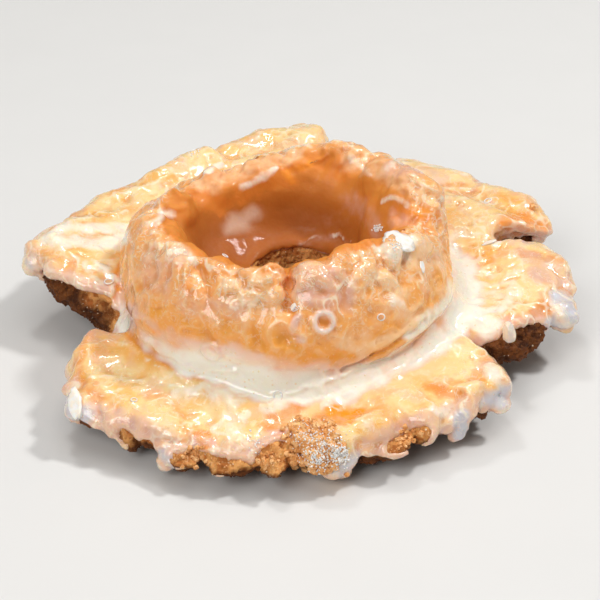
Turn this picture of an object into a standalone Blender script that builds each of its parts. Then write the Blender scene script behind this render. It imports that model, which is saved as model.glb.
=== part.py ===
"""An old fashioned doughnut: one solid of fried cake dough, resting on its flat foot.

A tall crown stands round the hole. Its crest is crinkled, and its inside narrows to the hole like
a funnel. Round its foot the crust has split into four petals of unequal width, which flare out
over a narrower underside, with open cracks between them. Thick runs of glaze hang from the rims.

Angles are in degrees, counter-clockwise from +X, seen from above. Lengths are in metres.
"""

import math
from typing import NamedTuple

import bmesh
import bpy
from mathutils import Matrix, Vector, noise

NAME = "doughnut"

# The neck, where the crater ends and the hole goes on down. It stands a little off the crown's axis.
NECK_CENTRE = (0.0020, 0.0050)
NECK_RADIUS = 0.0079
NECK_HEIGHT = 0.0150
HOLE_RADIUS = 0.0092
HOLE_FOOT_RADIUS = 0.0116

# The crown.
CRATER_RADIUS = 0.0180
CREST_WIDTH = 0.0094
BULGE_RADIUS = 0.0300
BULGE_HEIGHT = 0.0178
BASE_RADIUS = 0.0282
BASE_HEIGHT = 0.0124

# The foot under the crown, which carries the petals.
SHELF_RADIUS = 0.0322
SHELF_HEIGHT = 0.0092
FOOT_RADIUS = 0.0305
FOOT_SUNK = 0.0008

# What all petals share.
PETAL_ROOT_RADIUS = 0.0240
PETAL_JOIN_HEIGHT = 0.0118
RIM_DROP = 0.0018
RIM_BULGE = 0.0010
RIM_ROUNDING = 0.16
SIDE_ROUNDING = 0.0030
SIDE_DROP = 0.0016
UNDERSIDE_CURVE = 1.1
SIDE_WAVE = 3.0
SIDE_WAVE_LENGTH = 0.0019

# The relief of the crust: how deep each kind is, how wide one lump of it, and how far it reaches.
SWELL_DEPTH = 0.0012
SWELL_SIZE = 0.0130
CRINKLE_DEPTH = 0.0008
CRINKLE_SIZE = 0.0040
CRINKLE_REACH = 0.0085
CRAG_SIZE = 0.0052
CRAG_REACH = 0.0060
CRAG_SHIFT = (0.03, 0.01, 0.02)
GRAIN_DEPTH = 0.0002
GRAIN_SIZE = 0.0019

# The mesh.
RING_STEPS = 240
PROFILE_STEPS = 96
PETAL_CUTS = 44
VOXEL = 0.00062
SMOOTH_TURNS = 4
TRIANGLES = 12950
LEAST_EDGE = 0.00003


class CrestPoint(NamedTuple):
    """The middle of the crown's rim at one angle."""

    angle: float
    radius: float
    height: float


class RimPoint(NamedTuple):
    """One place on a petal's rim: its angle, its distance from the axis and its height on top."""

    angle: float
    reach: float
    height: float


class Petal(NamedTuple):
    """A petal: how thick it is at the rim, how deep the crags of the rim are, and the rim itself."""

    thickness: float
    crag: float
    rim: tuple


class Lump(NamedTuple):
    """A knob of crust: where it is, how wide it is and how far it rises. One that sinks is a pit."""

    angle: float
    radius: float
    height: float
    size: float
    rise: float


class Run(NamedTuple):
    """A run of glaze that hangs at a rim: its place, the heights of its ends and its half width."""

    angle: float
    reach: float
    top: float
    tip: float
    half_width: float


CREST = (
    CrestPoint(0, 0.0234, 0.0280),
    CrestPoint(30, 0.0240, 0.0282),
    CrestPoint(60, 0.0246, 0.0292),
    CrestPoint(90, 0.0240, 0.0290),
    CrestPoint(120, 0.0232, 0.0270),
    CrestPoint(150, 0.0230, 0.0264),
    CrestPoint(180, 0.0234, 0.0266),
    CrestPoint(210, 0.0232, 0.0272),
    CrestPoint(240, 0.0228, 0.0284),
    CrestPoint(270, 0.0226, 0.0288),
    CrestPoint(300, 0.0226, 0.0288),
    CrestPoint(330, 0.0228, 0.0284),
)

PETALS = {
    "front": Petal(0.0048, 0.0010, (
        RimPoint(199, 0.0330, 0.0120),
        RimPoint(203, 0.0380, 0.0118),
        RimPoint(209, 0.0420, 0.0110),
        RimPoint(219, 0.0446, 0.0102),
        RimPoint(231, 0.0440, 0.0094),
        RimPoint(246, 0.0436, 0.0084),
        RimPoint(262, 0.0436, 0.0078),
        RimPoint(280, 0.0420, 0.0084),
        RimPoint(297, 0.0418, 0.0092),
        RimPoint(311, 0.0432, 0.0098),
        RimPoint(321, 0.0450, 0.0102),
        RimPoint(328, 0.0438, 0.0108),
        RimPoint(333, 0.0398, 0.0118),
        RimPoint(337, 0.0340, 0.0122),
    )),
    "right": Petal(0.0050, 0.0009, (
        RimPoint(340, 0.0390, 0.0112),
        RimPoint(345, 0.0436, 0.0118),
        RimPoint(351, 0.0480, 0.0124),
        RimPoint(358, 0.0506, 0.0130),
        RimPoint(366, 0.0516, 0.0142),
        RimPoint(372, 0.0508, 0.0152),
        RimPoint(376, 0.0480, 0.0156),
        RimPoint(379, 0.0430, 0.0154),
        RimPoint(381, 0.0370, 0.0148),
    )),
    "back": Petal(0.0042, 0.0004, (
        RimPoint(381, 0.0396, 0.0152),
        RimPoint(383, 0.0488, 0.0160),
        RimPoint(386, 0.0552, 0.0170),
        RimPoint(391, 0.0558, 0.0176),
        RimPoint(399, 0.0544, 0.0180),
        RimPoint(408, 0.0526, 0.0180),
        RimPoint(418, 0.0520, 0.0180),
        RimPoint(425, 0.0506, 0.0176),
        RimPoint(429, 0.0440, 0.0160),
    )),
    "left": Petal(0.0044, 0.0004, (
        RimPoint(79, 0.0490, 0.0196),
        RimPoint(83, 0.0540, 0.0216),
        RimPoint(91, 0.0530, 0.0208),
        RimPoint(106, 0.0500, 0.0194),
        RimPoint(124, 0.0468, 0.0176),
        RimPoint(142, 0.0474, 0.0168),
        RimPoint(156, 0.0484, 0.0166),
        RimPoint(165, 0.0486, 0.0162),
        RimPoint(171, 0.0458, 0.0150),
        RimPoint(178, 0.0396, 0.0136),
        RimPoint(183, 0.0330, 0.0130),
    )),
}

LUMPS = (
    Lump(218, 0.0216, 0.0270, 0.0052, 0.0017),
    Lump(242, 0.0208, 0.0282, 0.0034, 0.0013),
    Lump(261, 0.0212, 0.0288, 0.0042, 0.0020),
    Lump(284, 0.0214, 0.0288, 0.0048, 0.0017),
    Lump(303, 0.0214, 0.0288, 0.0040, 0.0020),
    Lump(319, 0.0220, 0.0288, 0.0038, 0.0020),
    Lump(336, 0.0232, 0.0284, 0.0046, 0.0015),
    Lump(14, 0.0236, 0.0280, 0.0052, 0.0015),
    Lump(33, 0.0226, 0.0282, 0.0050, 0.0018),
    Lump(63, 0.0236, 0.0294, 0.0044, 0.0016),
    Lump(82, 0.0230, 0.0294, 0.0042, 0.0017),
    Lump(104, 0.0214, 0.0278, 0.0052, 0.0012),
    Lump(128, 0.0210, 0.0268, 0.0040, 0.0017),
    Lump(160, 0.0198, 0.0262, 0.0042, 0.0022),
    Lump(192, 0.0236, 0.0266, 0.0080, 0.0019),
    Lump(253, 0.0202, 0.0278, 0.0026, -0.0012),
    Lump(273, 0.0228, 0.0270, 0.0030, -0.0013),
    Lump(294, 0.0204, 0.0284, 0.0020, -0.0008),
    Lump(328, 0.0212, 0.0280, 0.0024, -0.0010),
    Lump(354, 0.0228, 0.0280, 0.0046, -0.0014),
    Lump(47, 0.0226, 0.0286, 0.0036, -0.0018),
    Lump(116, 0.0206, 0.0268, 0.0028, -0.0010),
    Lump(174, 0.0214, 0.0266, 0.0034, -0.0018),
    Lump(262, 0.0418, 0.0042, 0.0044, -0.0018),
    Lump(272, 0.0412, 0.0048, 0.0040, -0.0022),
    Lump(251, 0.0422, 0.0046, 0.0036, -0.0014),
    Lump(299, 0.0410, 0.0056, 0.0044, -0.0014),
    Lump(235, 0.0434, 0.0056, 0.0034, -0.0012),
    Lump(288, 0.0352, 0.0096, 0.0034, -0.0014),
    Lump(277, 0.0404, 0.0076, 0.0050, 0.0010),
)

RUNS = (
    Run(244, 0.0436, 0.0072, 0.0022, 0.00160),
    Run(281, 0.0416, 0.0064, 0.0018, 0.00240),
    Run(312, 0.0430, 0.0086, 0.0026, 0.00150),
    Run(323, 0.0448, 0.0084, 0.0050, 0.00200),
    Run(342, 0.0412, 0.0100, 0.0066, 0.00150),
    Run(356, 0.0512, 0.0112, 0.0066, 0.00250),
    Run(168, 0.0480, 0.0146, 0.0098, 0.00230),
    Run(220, 0.0458, 0.0088, 0.0042, 0.00180),
)


def clear_scene():
    for old in list(bpy.data.objects):
        bpy.data.objects.remove(old)


def ease(share):
    """0 up to 0, 1 from 1, and an even S between."""
    share = min(1.0, max(0.0, share))
    return share * share * (3 - 2 * share)


def mix(low, high, share):
    return low + (high - low) * share


def spline(before, start, end, after, share):
    """The Catmull-Rom curve from start to end."""
    return 0.5 * (
        2 * start
        + (end - before) * share
        + (2 * before - 5 * start + 4 * end - after) * share**2
        + (3 * start - before - 3 * end + after) * share**3
    )


def smooth_loop(corners, count):
    """A closed smooth curve through the corners, as count points spread evenly over its spans."""
    spans = len(corners)
    points = []
    for step in range(count):
        span, share = divmod(step * spans / count, 1)
        near = [corners[(int(span) + k) % spans] for k in (-1, 0, 1, 2)]
        points.append(tuple(spline(*axis, share) for axis in zip(*near)))
    return points


def at_polar(angle, radius, height):
    turn = math.radians(angle)
    return Vector((radius * math.cos(turn), radius * math.sin(turn), height))


def crest_at(angle):
    """(radius, height) of the crown's rim at an angle, on a smooth curve through its points."""
    count = len(CREST)
    span, share = divmod(angle % 360 * count / 360, 1)
    near = [CREST[(int(span) + k) % count] for k in (-1, 0, 1, 2)]
    return [spline(*(point[axis] for point in near), share) for axis in (1, 2)]


def ring_profile(angle):
    """The outline of the crown and foot at one angle, from the foot of the hole up and round.

    Each corner is (radius, height, share), and the share says how far it follows the neck's centre.
    """
    radius, crest = crest_at(angle)
    inner = radius - CREST_WIDTH / 2
    return (
        (HOLE_FOOT_RADIUS, 0.0006, 1),
        (HOLE_RADIUS, NECK_HEIGHT * 0.35, 1),
        (NECK_RADIUS + 0.0004, NECK_HEIGHT * 0.78, 1),
        (NECK_RADIUS, NECK_HEIGHT, 1),
        (mix(NECK_RADIUS, CRATER_RADIUS, 0.30), NECK_HEIGHT + 0.0016, 0.8),
        (mix(NECK_RADIUS, CRATER_RADIUS, 0.72), mix(NECK_HEIGHT, crest, 0.38), 0.3),
        (CRATER_RADIUS - 0.0002, mix(NECK_HEIGHT, crest, 0.66), 0),
        (inner, crest - 0.0020, 0),
        (radius - CREST_WIDTH * 0.26, crest - 0.0004, 0),
        (radius, crest, 0),
        (radius + CREST_WIDTH * 0.28, crest - 0.0014, 0),
        (mix(radius, BULGE_RADIUS, 0.76), mix(BULGE_HEIGHT, crest, 0.50), 0),
        (BULGE_RADIUS, BULGE_HEIGHT, 0),
        (BULGE_RADIUS - 0.0004, mix(BASE_HEIGHT, BULGE_HEIGHT, 0.46), 0),
        (BASE_RADIUS, BASE_HEIGHT, 0),
        (SHELF_RADIUS - 0.0016, SHELF_HEIGHT, 0),
        (SHELF_RADIUS, SHELF_HEIGHT * 0.62, 0),
        (SHELF_RADIUS - 0.0002, SHELF_HEIGHT * 0.24, 0),
        (FOOT_RADIUS, -FOOT_SUNK, 0),
        (mix(HOLE_FOOT_RADIUS, FOOT_RADIUS, 0.66), -FOOT_SUNK, 0.3),
        (mix(HOLE_FOOT_RADIUS, FOOT_RADIUS, 0.30), -FOOT_SUNK, 0.7),
    )


def add_mesh(name, solid):
    """Links the bmesh to the scene as an object, with its faces pointing out."""
    bmesh.ops.recalc_face_normals(solid, faces=solid.faces)
    mesh = bpy.data.meshes.new(name)
    solid.to_mesh(mesh)
    solid.free()
    made = bpy.data.objects.new(name, mesh)
    bpy.context.scene.collection.objects.link(made)
    return made


def make_ring():
    """The crown and foot: each profile is a loop of points, and neighbours are bridged."""
    solid = bmesh.new()
    loops = []
    for step in range(RING_STEPS):
        angle = 360 * step / RING_STEPS
        corners = smooth_loop(ring_profile(angle), PROFILE_STEPS)
        loops.append([
            solid.verts.new(at_polar(angle, radius, height) + share * Vector((*NECK_CENTRE, 0)))
            for radius, height, share in corners
        ])
    for near, far in zip(loops, loops[1:] + loops[:1]):
        for step in range(PROFILE_STEPS):
            after = (step + 1) % PROFILE_STEPS
            solid.faces.new((near[step], near[after], far[after], far[step]))
    return add_mesh("ring", solid)


def rim_at(rim, angle):
    """(reach, height) of a petal's rim at an angle, on a smooth curve through its points."""
    last = len(rim) - 1
    span = next((k for k in range(last) if angle <= rim[k + 1].angle), last - 1)
    start, end = rim[span], rim[span + 1]
    before, after = rim[max(span - 1, 0)], rim[min(span + 2, last)]
    share = (angle - start.angle) / (end.angle - start.angle)
    return [
        spline(before[axis], start[axis], end[axis], after[axis], share) for axis in (1, 2)
    ]


def petal_point(petal, along, out, up):
    """Where a block's corner goes. Its shares run along the rim, out from the root, and upwards."""
    rim = petal.rim
    angle = mix(rim[0].angle, rim[-1].angle, along)
    reach, height = rim_at(rim, angle)
    radius = mix(PETAL_ROOT_RADIUS, reach, out)
    angle += SIDE_WAVE * 4 * out * (1 - out) * math.sin(radius / SIDE_WAVE_LENGTH + rim[0].angle)
    arc = math.radians(rim[-1].angle - rim[0].angle) * radius
    to_side = min(along, 1 - along) * arc
    rounding = max(0.0, (out - 1 + RIM_ROUNDING) / RIM_ROUNDING) ** 2
    top = mix(PETAL_JOIN_HEIGHT, height, ease(out * 1.2)) - RIM_DROP * rounding
    top -= SIDE_DROP * (1 - ease(to_side / SIDE_ROUNDING))
    past_foot = max(0.0, (radius - FOOT_RADIUS) / (reach - FOOT_RADIUS))
    floor = (height - petal.thickness) * past_foot**UNDERSIDE_CURVE
    bulge = RIM_BULGE * 4 * up * (1 - up) * out**6
    return at_polar(angle, radius + bulge, mix(floor, top, up))


def make_petal(name, petal):
    """A block whose three directions become along the rim, out from the crown and up."""
    solid = bmesh.new()
    bmesh.ops.create_cube(solid, size=1.0, matrix=Matrix.Translation((0.5, 0.5, 0.5)))
    bmesh.ops.subdivide_edges(solid, edges=solid.edges, cuts=PETAL_CUTS, use_grid_fill=True)
    for corner in solid.verts:
        corner.co = petal_point(petal, *corner.co)
    return add_mesh(name, solid)


def make_run(run):
    """A drop of glaze: a ball drawn out downwards from its top to its tip."""
    solid = bmesh.new()
    middle = at_polar(run.angle, run.reach, (run.top + run.tip) / 2)
    half_height = (run.top - run.tip) / 2 / run.half_width
    shape = Matrix.Translation(middle) @ Matrix.Diagonal((1, 1, half_height, 1))
    bmesh.ops.create_icosphere(solid, subdivisions=3, radius=run.half_width, matrix=shape)
    return add_mesh("run", solid)


def joined(pieces):
    """All pieces as one object, fused and rounded by a voxel remesh and a smoothing."""
    solid = bmesh.new()
    for piece in pieces:
        solid.from_mesh(piece.data)
        bpy.data.objects.remove(piece)
    whole = add_mesh(NAME, solid)
    remesh = whole.modifiers.new("Fuse", "REMESH")
    remesh.mode = "VOXEL"
    remesh.voxel_size = VOXEL
    smooth = whole.modifiers.new("Round", "SMOOTH")
    smooth.factor = 0.5
    smooth.iterations = SMOOTH_TURNS
    graph = bpy.context.evaluated_depsgraph_get()
    whole.data = bpy.data.meshes.new_from_object(whole.evaluated_get(graph))
    whole.modifiers.clear()
    return whole


def rim_crags(place, radius, angle):
    """How deep the crags are at a place: they fade out from the rim of a petal inwards."""
    for petal in PETALS.values():
        start = petal.rim[0].angle
        turned = (angle - start) % 360 + start
        if turned <= petal.rim[-1].angle:
            reach = rim_at(petal.rim, turned)[0]
            near_rim = ease(1 - (reach - radius) / CRAG_REACH)
            return petal.crag * near_rim * ease((radius - SHELF_RADIUS) * 2 / CRAG_REACH)
    return 0.0


def lumps(place, size):
    """Rounded lumps with sharp creases between them, from about -1 to 1."""
    return 3.2 * abs(noise.noise(place / size)) - 0.9


def relief(place, normal, knobs):
    """How far the crust stands out: crinkled on the crown, craggy at the rims, rough below."""
    radius = math.hypot(place.x, place.y)
    angle = math.degrees(math.atan2(place.y, place.x))
    crest_radius, crest_height = crest_at(angle)
    to_crest = math.hypot(radius - crest_radius, place.z - crest_height)
    crinkled = 1 - ease(to_crest / CRINKLE_REACH)
    crags = rim_crags(place, radius, angle)
    below = ease(-normal.z * 2)
    offset = SWELL_DEPTH * noise.noise(place / SWELL_SIZE)
    offset += CRINKLE_DEPTH * crinkled * lumps(place, CRINKLE_SIZE)
    offset += crags * lumps(place + Vector(CRAG_SHIFT), CRAG_SIZE)
    offset += GRAIN_DEPTH * max(crinkled, below) * lumps(place, GRAIN_SIZE)
    for middle, size, rise in knobs:
        away = (place - middle).length / size
        offset += rise * max(0.0, 1 - away**2)
    return offset


def carve_crust(whole):
    """Moves each point of the surface by its relief."""
    knobs = [
        (at_polar(lump.angle, lump.radius, lump.height), lump.size, lump.rise) for lump in LUMPS
    ]
    vertices = whole.data.vertices
    normals = [vertex.normal.copy() for vertex in vertices]
    for vertex, normal in zip(vertices, normals):
        vertex.co += normal * relief(vertex.co, normal, knobs)


def thin_out(whole):
    """Leaves small faces where the crust is craggy and large ones where it is smooth."""
    faces = sum(len(face.vertices) - 2 for face in whole.data.polygons)
    decimate = whole.modifiers.new("Thin", "DECIMATE")
    decimate.ratio = TRIANGLES / faces
    graph = bpy.context.evaluated_depsgraph_get()
    whole.data = bpy.data.meshes.new_from_object(whole.evaluated_get(graph))
    whole.modifiers.clear()


def cut_foot(whole):
    """Cuts the underside off at height 0 and closes the cut with one flat ring."""
    solid = bmesh.new()
    solid.from_mesh(whole.data)
    bmesh.ops.bisect_plane(
        solid,
        geom=solid.verts[:] + solid.edges[:] + solid.faces[:],
        plane_co=(0, 0, 0),
        plane_no=(0, 0, 1),
        clear_inner=True,
    )
    bmesh.ops.remove_doubles(solid, verts=solid.verts, dist=LEAST_EDGE)
    rims = [edge for edge in solid.edges if edge.is_boundary]
    bmesh.ops.triangle_fill(solid, edges=rims, use_beauty=True, normal=(0, 0, -1))
    bmesh.ops.triangulate(solid, faces=solid.faces)
    bmesh.ops.recalc_face_normals(solid, faces=solid.faces)
    solid.to_mesh(whole.data)
    solid.free()


def stand_at_origin(whole):
    """Puts the middle of the doughnut's box over the origin, with its foot at height 0."""
    places = [vertex.co for vertex in whole.data.vertices]
    low = [min(place[axis] for place in places) for axis in range(3)]
    high = [max(place[axis] for place in places) for axis in range(3)]
    whole.data.transform(
        Matrix.Translation((-(low[0] + high[0]) / 2, -(low[1] + high[1]) / 2, -low[2]))
    )


def crust_material():
    """Golden brown crust under a thin shiny glaze."""
    made = bpy.data.materials.new("glazed_crust")
    made.use_nodes = True
    surface = made.node_tree.nodes["Principled BSDF"]
    surface.inputs["Base Color"].default_value = (0.78, 0.42, 0.17, 1)
    surface.inputs["Roughness"].default_value = 0.32
    surface.inputs["Metallic"].default_value = 0.0
    return made


def main():
    clear_scene()
    pieces = [make_ring()]
    pieces += [make_petal(name, petal) for name, petal in PETALS.items()]
    pieces += [make_run(run) for run in RUNS]
    whole = joined(pieces)
    carve_crust(whole)
    thin_out(whole)
    cut_foot(whole)
    stand_at_origin(whole)
    whole.data.materials.clear()
    whole.data.materials.append(crust_material())
    whole.data.shade_smooth()


if __name__ == "__main__":
    main()
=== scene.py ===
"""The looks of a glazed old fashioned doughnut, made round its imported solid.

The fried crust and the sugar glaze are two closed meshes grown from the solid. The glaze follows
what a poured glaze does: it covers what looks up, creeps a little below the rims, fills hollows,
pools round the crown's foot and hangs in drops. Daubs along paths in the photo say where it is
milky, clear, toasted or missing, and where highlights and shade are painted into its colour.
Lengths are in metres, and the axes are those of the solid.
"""

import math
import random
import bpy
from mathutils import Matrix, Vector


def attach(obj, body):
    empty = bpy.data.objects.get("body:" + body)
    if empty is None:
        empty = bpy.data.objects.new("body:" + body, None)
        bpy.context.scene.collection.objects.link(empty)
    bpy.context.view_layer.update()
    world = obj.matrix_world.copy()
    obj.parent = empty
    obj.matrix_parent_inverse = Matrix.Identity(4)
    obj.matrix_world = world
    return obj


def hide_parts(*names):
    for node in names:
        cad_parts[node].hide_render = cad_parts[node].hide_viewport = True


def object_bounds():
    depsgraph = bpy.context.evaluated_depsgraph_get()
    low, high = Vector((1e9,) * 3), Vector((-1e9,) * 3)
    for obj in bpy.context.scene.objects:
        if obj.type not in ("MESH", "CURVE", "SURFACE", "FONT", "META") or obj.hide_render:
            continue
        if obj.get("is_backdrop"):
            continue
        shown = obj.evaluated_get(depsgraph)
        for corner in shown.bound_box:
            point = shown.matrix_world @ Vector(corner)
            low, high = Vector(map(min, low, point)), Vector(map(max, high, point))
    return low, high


bl_info = {
    "name": "Glazed doughnut",
    "version": (1, 0, 0),
    "blender": (4, 5, 0),
    "location": "View3D > Sidebar > Doughnut",
    "description": "Crust, glaze and crumbs for an old fashioned doughnut",
    "category": "Object",
}

from typing import NamedTuple

import bmesh
import bpy
import numpy as np
from mathutils import Matrix, Vector, noise
from mathutils.bvhtree import BVHTree
from mathutils.kdtree import KDTree

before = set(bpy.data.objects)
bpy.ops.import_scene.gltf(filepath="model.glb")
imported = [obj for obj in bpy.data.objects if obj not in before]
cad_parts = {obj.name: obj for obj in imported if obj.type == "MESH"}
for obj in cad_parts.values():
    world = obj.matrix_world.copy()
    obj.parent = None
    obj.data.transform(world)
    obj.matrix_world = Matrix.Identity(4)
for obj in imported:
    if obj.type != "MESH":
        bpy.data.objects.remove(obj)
CAD_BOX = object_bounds()
NODE = "doughnut"
MILLIMETRE = 0.001

# The photo: where the camera stood, and the frame that its pixels are counted in.
PHOTO_PIXELS = 600
PHOTO_SENSOR = 0.036
PHOTO_LENS = 0.099
PHOTO_DISTANCE = 0.300
PHOTO_ELEVATION = math.radians(31)
PHOTO_AIM = Vector((0.00078, -0.00539, 0.0105))
PHOTO_AHEAD = (0, math.cos(PHOTO_ELEVATION), -math.sin(PHOTO_ELEVATION))
PHOTO_UP = (0, math.sin(PHOTO_ELEVATION), math.cos(PHOTO_ELEVATION))

# The crown and the neck of the hole, in the solid's frame.
CROWN_AXIS = Vector((-0.0019, -0.0054, 0))
CROWN_RADIUS = 0.0300
CROWN_FOOT_HEIGHT = 0.0105
CREST_RADIUS = 0.0232
CREST_HEIGHT = 0.0275
POOL_RADIUS = 0.0304
POOL_HEIGHT = 0.0120
POOL_STEPS = 240
POOL_SIDES = 20
POOL_LOWEST = 0.0092
# Direction in degrees, how high the pool climbs up the crown, how far out it ends.
POOL_FORM = (
    (0, 0.0165, 0.0350),
    (25, 0.0165, 0.0350),
    (70, 0.0160, 0.0334),
    (120, 0.0155, 0.0320),
    (160, 0.0135, 0.0308),
    (185, 0.0125, 0.0302),
    (200, 0.0142, 0.0303),
    (212, 0.0160, 0.0304),
    (225, 0.0168, 0.0306),
    (240, 0.0178, 0.0310),
    (253, 0.0182, 0.0315),
    (264, 0.0176, 0.0323),
    (275, 0.0162, 0.0332),
    (285, 0.0148, 0.0332),
    (300, 0.0140, 0.0324),
    (315, 0.0142, 0.0320),
    (328, 0.0152, 0.0332),
    (345, 0.0165, 0.0352),
)
NECK_CENTRE = Vector((0.0001, -0.0004, 0))
NECK_RADIUS = 0.0085
NECK_HEIGHT = 0.0146

# The step along a path of pixels, how far from it anything is felt, and how near to each other two
# corners of the solid are taken as one.
PATH_STEP = 0.0006
PATH_REACH = 0.006
MERGE_DISTANCE = 0.000002

# Colours of the glaze between those that the panel sets.
CREAM = (0.98, 0.78, 0.47, 1)
RING_PALE = (0.90, 0.76, 0.70, 1)
VEIL = (0.92, 0.66, 0.55, 1)
# A painted reflection: the soft pale patch that a window makes on the crater's left wall.
PAINTED_REFLECTION = (0.80, 0.60, 0.46, 1)
POOL_MILK = (1.0, 0.94, 0.81, 1)
PEACH = (0.90, 0.50, 0.29, 1)
# Pale ridges and film lines: thick glaze, lightened also as painted highlights, the glints along
# them.
CREAM_GLINT = (1.0, 0.87, 0.68, 1)
PALE_AMBER = (1.0, 0.66, 0.30, 1)
# The crater's lowest glaze, darkened as painted shade.
SHADED_DEEP_AMBER = (0.41, 0.113, 0.011, 1)
# Painted shade in the glaze's hollows, and painted highlights on its knobs.
HOLLOW_SHADE = (0.72, 0.24, 0.036, 1)
KNOB_HIGHLIGHT = (1.0, 0.64, 0.34, 1)

# Colours of the crust's pits and grit, above and below, of the sugar, the crumbs and the air. Below,
# the crust is darker, partly browner crust and partly painted shade.
DARK_ABOVE = (0.44, 0.14, 0.030, 1)
DARK_BELOW = (0.070, 0.020, 0.006, 1)
PALE_ABOVE = (0.93, 0.62, 0.31, 1)
PALE_BELOW = (0.30, 0.115, 0.034, 1)
SUGARED = (0.93, 0.80, 0.60, 1)
CLEAR_SUGAR = (0.98, 0.86, 0.72, 1)
LIGHT_CRUMB = (0.90, 0.52, 0.22, 1)
DARK_CRUMB = (0.42, 0.15, 0.036, 1)
AIR = (1.0, 0.98, 0.95, 1)

# How far and in what waves the strokes of glaze waver.
WANDER = 0.0011
WANDER_SIZE = 0.0026

# How often the dough, the poured glaze and the rolled crest are evened out.
SOFTEN_TURNS = 7
POUR_TURNS = 4
ROLL_TURNS = 60

# The crest: how far it is rolled over and on which side, how far it is sharpened, and its crags.
ROLLED = 0.50
SHARPENED = 0.45
ROLLED_SIDE = (-0.5, 0.866)
CREST_REACH = 0.009
CRAG_DEPTH = 0.0009
CRAG_SIZE = 0.0024
CRAG_INSET = 0.0012
CRAG_REACH = 0.0056

# How far past their own radius the crown and the neck count, and over what they fade.
CROWN_MARGIN = 0.0022
CROWN_FADE = 0.0012
NECK_MARGIN = 0.0030
NECK_FADE = 0.0006

# The glaze's edge: the steepest side that keeps glaze, its least creep, the width of its pale rim,
# how far a daub moves it, what is far inside and outside it, the sizes of its lobes and of its
# ragged line, where it ends below the neck, how much wider than a drop it is round the drop, and how
# far inside it the drop lies.
STEEPEST = 0.22
LEAST_CREEP = 0.0009
RIM_WIDTH = 0.0046
EDGE_SPAN = 0.004
FAR_INSIDE = 0.01
FAR_OUTSIDE = 0.05
WIDE_LOBE = 0.0052
NARROW_LOBE = 0.0023
RAGGED_SIZE = 0.0016
NECK_END = 0.0004
DROP_WIDENED = 1.15
DROP_MARGIN = 0.001

# The poured glaze's thickness: what the neck's lip and the bead at its edge add, how far it evens
# out hollows, how much thinner it is over the crest, its swellings and the knobs outside on the
# crown, the least there is of it, how it ends, and how deep its end is sunk in the crust.
LIP_THICKNESS = 0.0004
LIP_WIDTH = 0.0010
BEAD_THICKNESS = 0.00022
BEAD_INSET = 0.0007
BEAD_WIDTH = 0.0006
FILL_TURNS = 12
LEAST_FILL = -0.0002
MOST_FILL = 0.0006
THINNED_REACH = 0.007
THINNED = 0.45
SWELLING = 0.001
WIDE_SWELLING = 0.0056
NARROW_SWELLING = 0.0026
KNOB_SIZE = 0.0042
KNOB_FOOT = 0.0145
KNOB_FADE_UP = 0.004
KNOB_FADE_OUT = 0.003
LEAST_THICKNESS = 0.00006
CROWN_THICKNESS = 0.00010
END_FADE = 0.0006
SUNK_FADE = 0.0005
SUNK = 0.0012

# The pool: its reach round the gutter, the waves in its edges, how its depth fades upwards,
# outwards and below, and how its wall and its outer edge are looked for and evened out.
POOL_REACH = 0.0070
POOL_WAVE = 0.0012
POOL_TOP_WAVES = 0.0046
POOL_EDGE_WAVES = 0.0030
POOL_ABOVE = 0.0022
POOL_BEYOND = 0.0014
POOL_DEEP = 0.0062
POOL_FADE = 0.0022
POOL_INNER = 0.0275
POOL_BOTTOM = 0.0075
POOL_EDGE_STEP = 0.0003
POOL_EDGE_STEPS = 12
POOL_WALL_START = 0.006
ABOVE_ALL = 0.03
POOL_EVEN_TURNS = 6
POOL_FACE = POOL_SIDES - 6

# Ridges of the dried film: size, seed, sharpness, size and seed of their patches, and strength.
RIDGES = (
    (0.0036, 5.0, 0.12, 0.0075, 3.0, 1.0),
    (0.0021, 8.0, 0.20, 0.0060, 6.0, 0.8),
)

# Heights between which the crown's glaze changes colour and the crater's darkens downwards as
# painted shade, where the crater's ends, how far from the crest the film is wrinkled, and how deep
# the hollows are and how high the knobs that have their full painted shade and highlight.
CROWN_GRADE = (0.012, 0.026)
CRATER_GRADE = (0.0185, 0.027)
CRATER_MARGIN = 0.0004
CRATER_FADE = 0.0024
CRATER_BOTTOM = 0.010
WRINKLED_REACH = 0.011
HOLLOW_TURNS = 10
HOLLOW_DEPTH = 0.00012

# The bare crust: how its relief fades in at the glaze and above the foot, and where it is dark,
# partly browner crust and partly painted shade.
BARE_FADE = 0.0012
FOOT_FADE = 0.0012
HOLE_MARGIN = 0.004
FRONT_LINE = 0.0330
FRONT_FADE = 0.004
PETAL_START = 0.005
PETAL_FADE = 0.003
LEAST_BARE = 0.01

# What is left of the faces that nobody sees, and the most triangles that a piece may have.
HIDDEN_KEPT = 0.22
HIDDEN_DEPTH = 0.0002
MOST_TRIANGLES = 190000


class Daub(NamedTuple):
    """A stroke over the glaze: its tint, its path in the photo, half width, strength and rise."""

    tint: str
    path: tuple
    width: float
    strength: float
    rise: float


class Shift(NamedTuple):
    """Where the dough lies a little off the solid: right, up and away as the photo sees it."""

    path: tuple
    width: float
    right: float
    up: float
    away: float


class Fold(NamedTuple):
    """A narrow fold in the glaze: its path in the photo, half width and height."""

    path: tuple
    width: float
    rise: float


class Bubble(NamedTuple):
    """A bubble in the glaze: where it is in the photo, its radius, and whether it has burst."""

    place: tuple
    radius: float
    burst: bool


class Chip(NamedTuple):
    """A flake of dried glaze: its place in the photo, sizes, turn, and how level it lies."""

    place: tuple
    length: float
    width: float
    thickness: float
    turn: float
    level: float = 0.0


class Scatter(NamedTuple):
    """Small things strewn round a place in the photo: how far in pixels, how many and how large."""

    place: tuple
    spread: float
    count: int
    size: float


class Drop(NamedTuple):
    """A drop that hangs from a rim: its direction in degrees, distance, heights and half width."""

    angle: float
    reach: float
    top: float
    tip: float
    half_width: float


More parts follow.
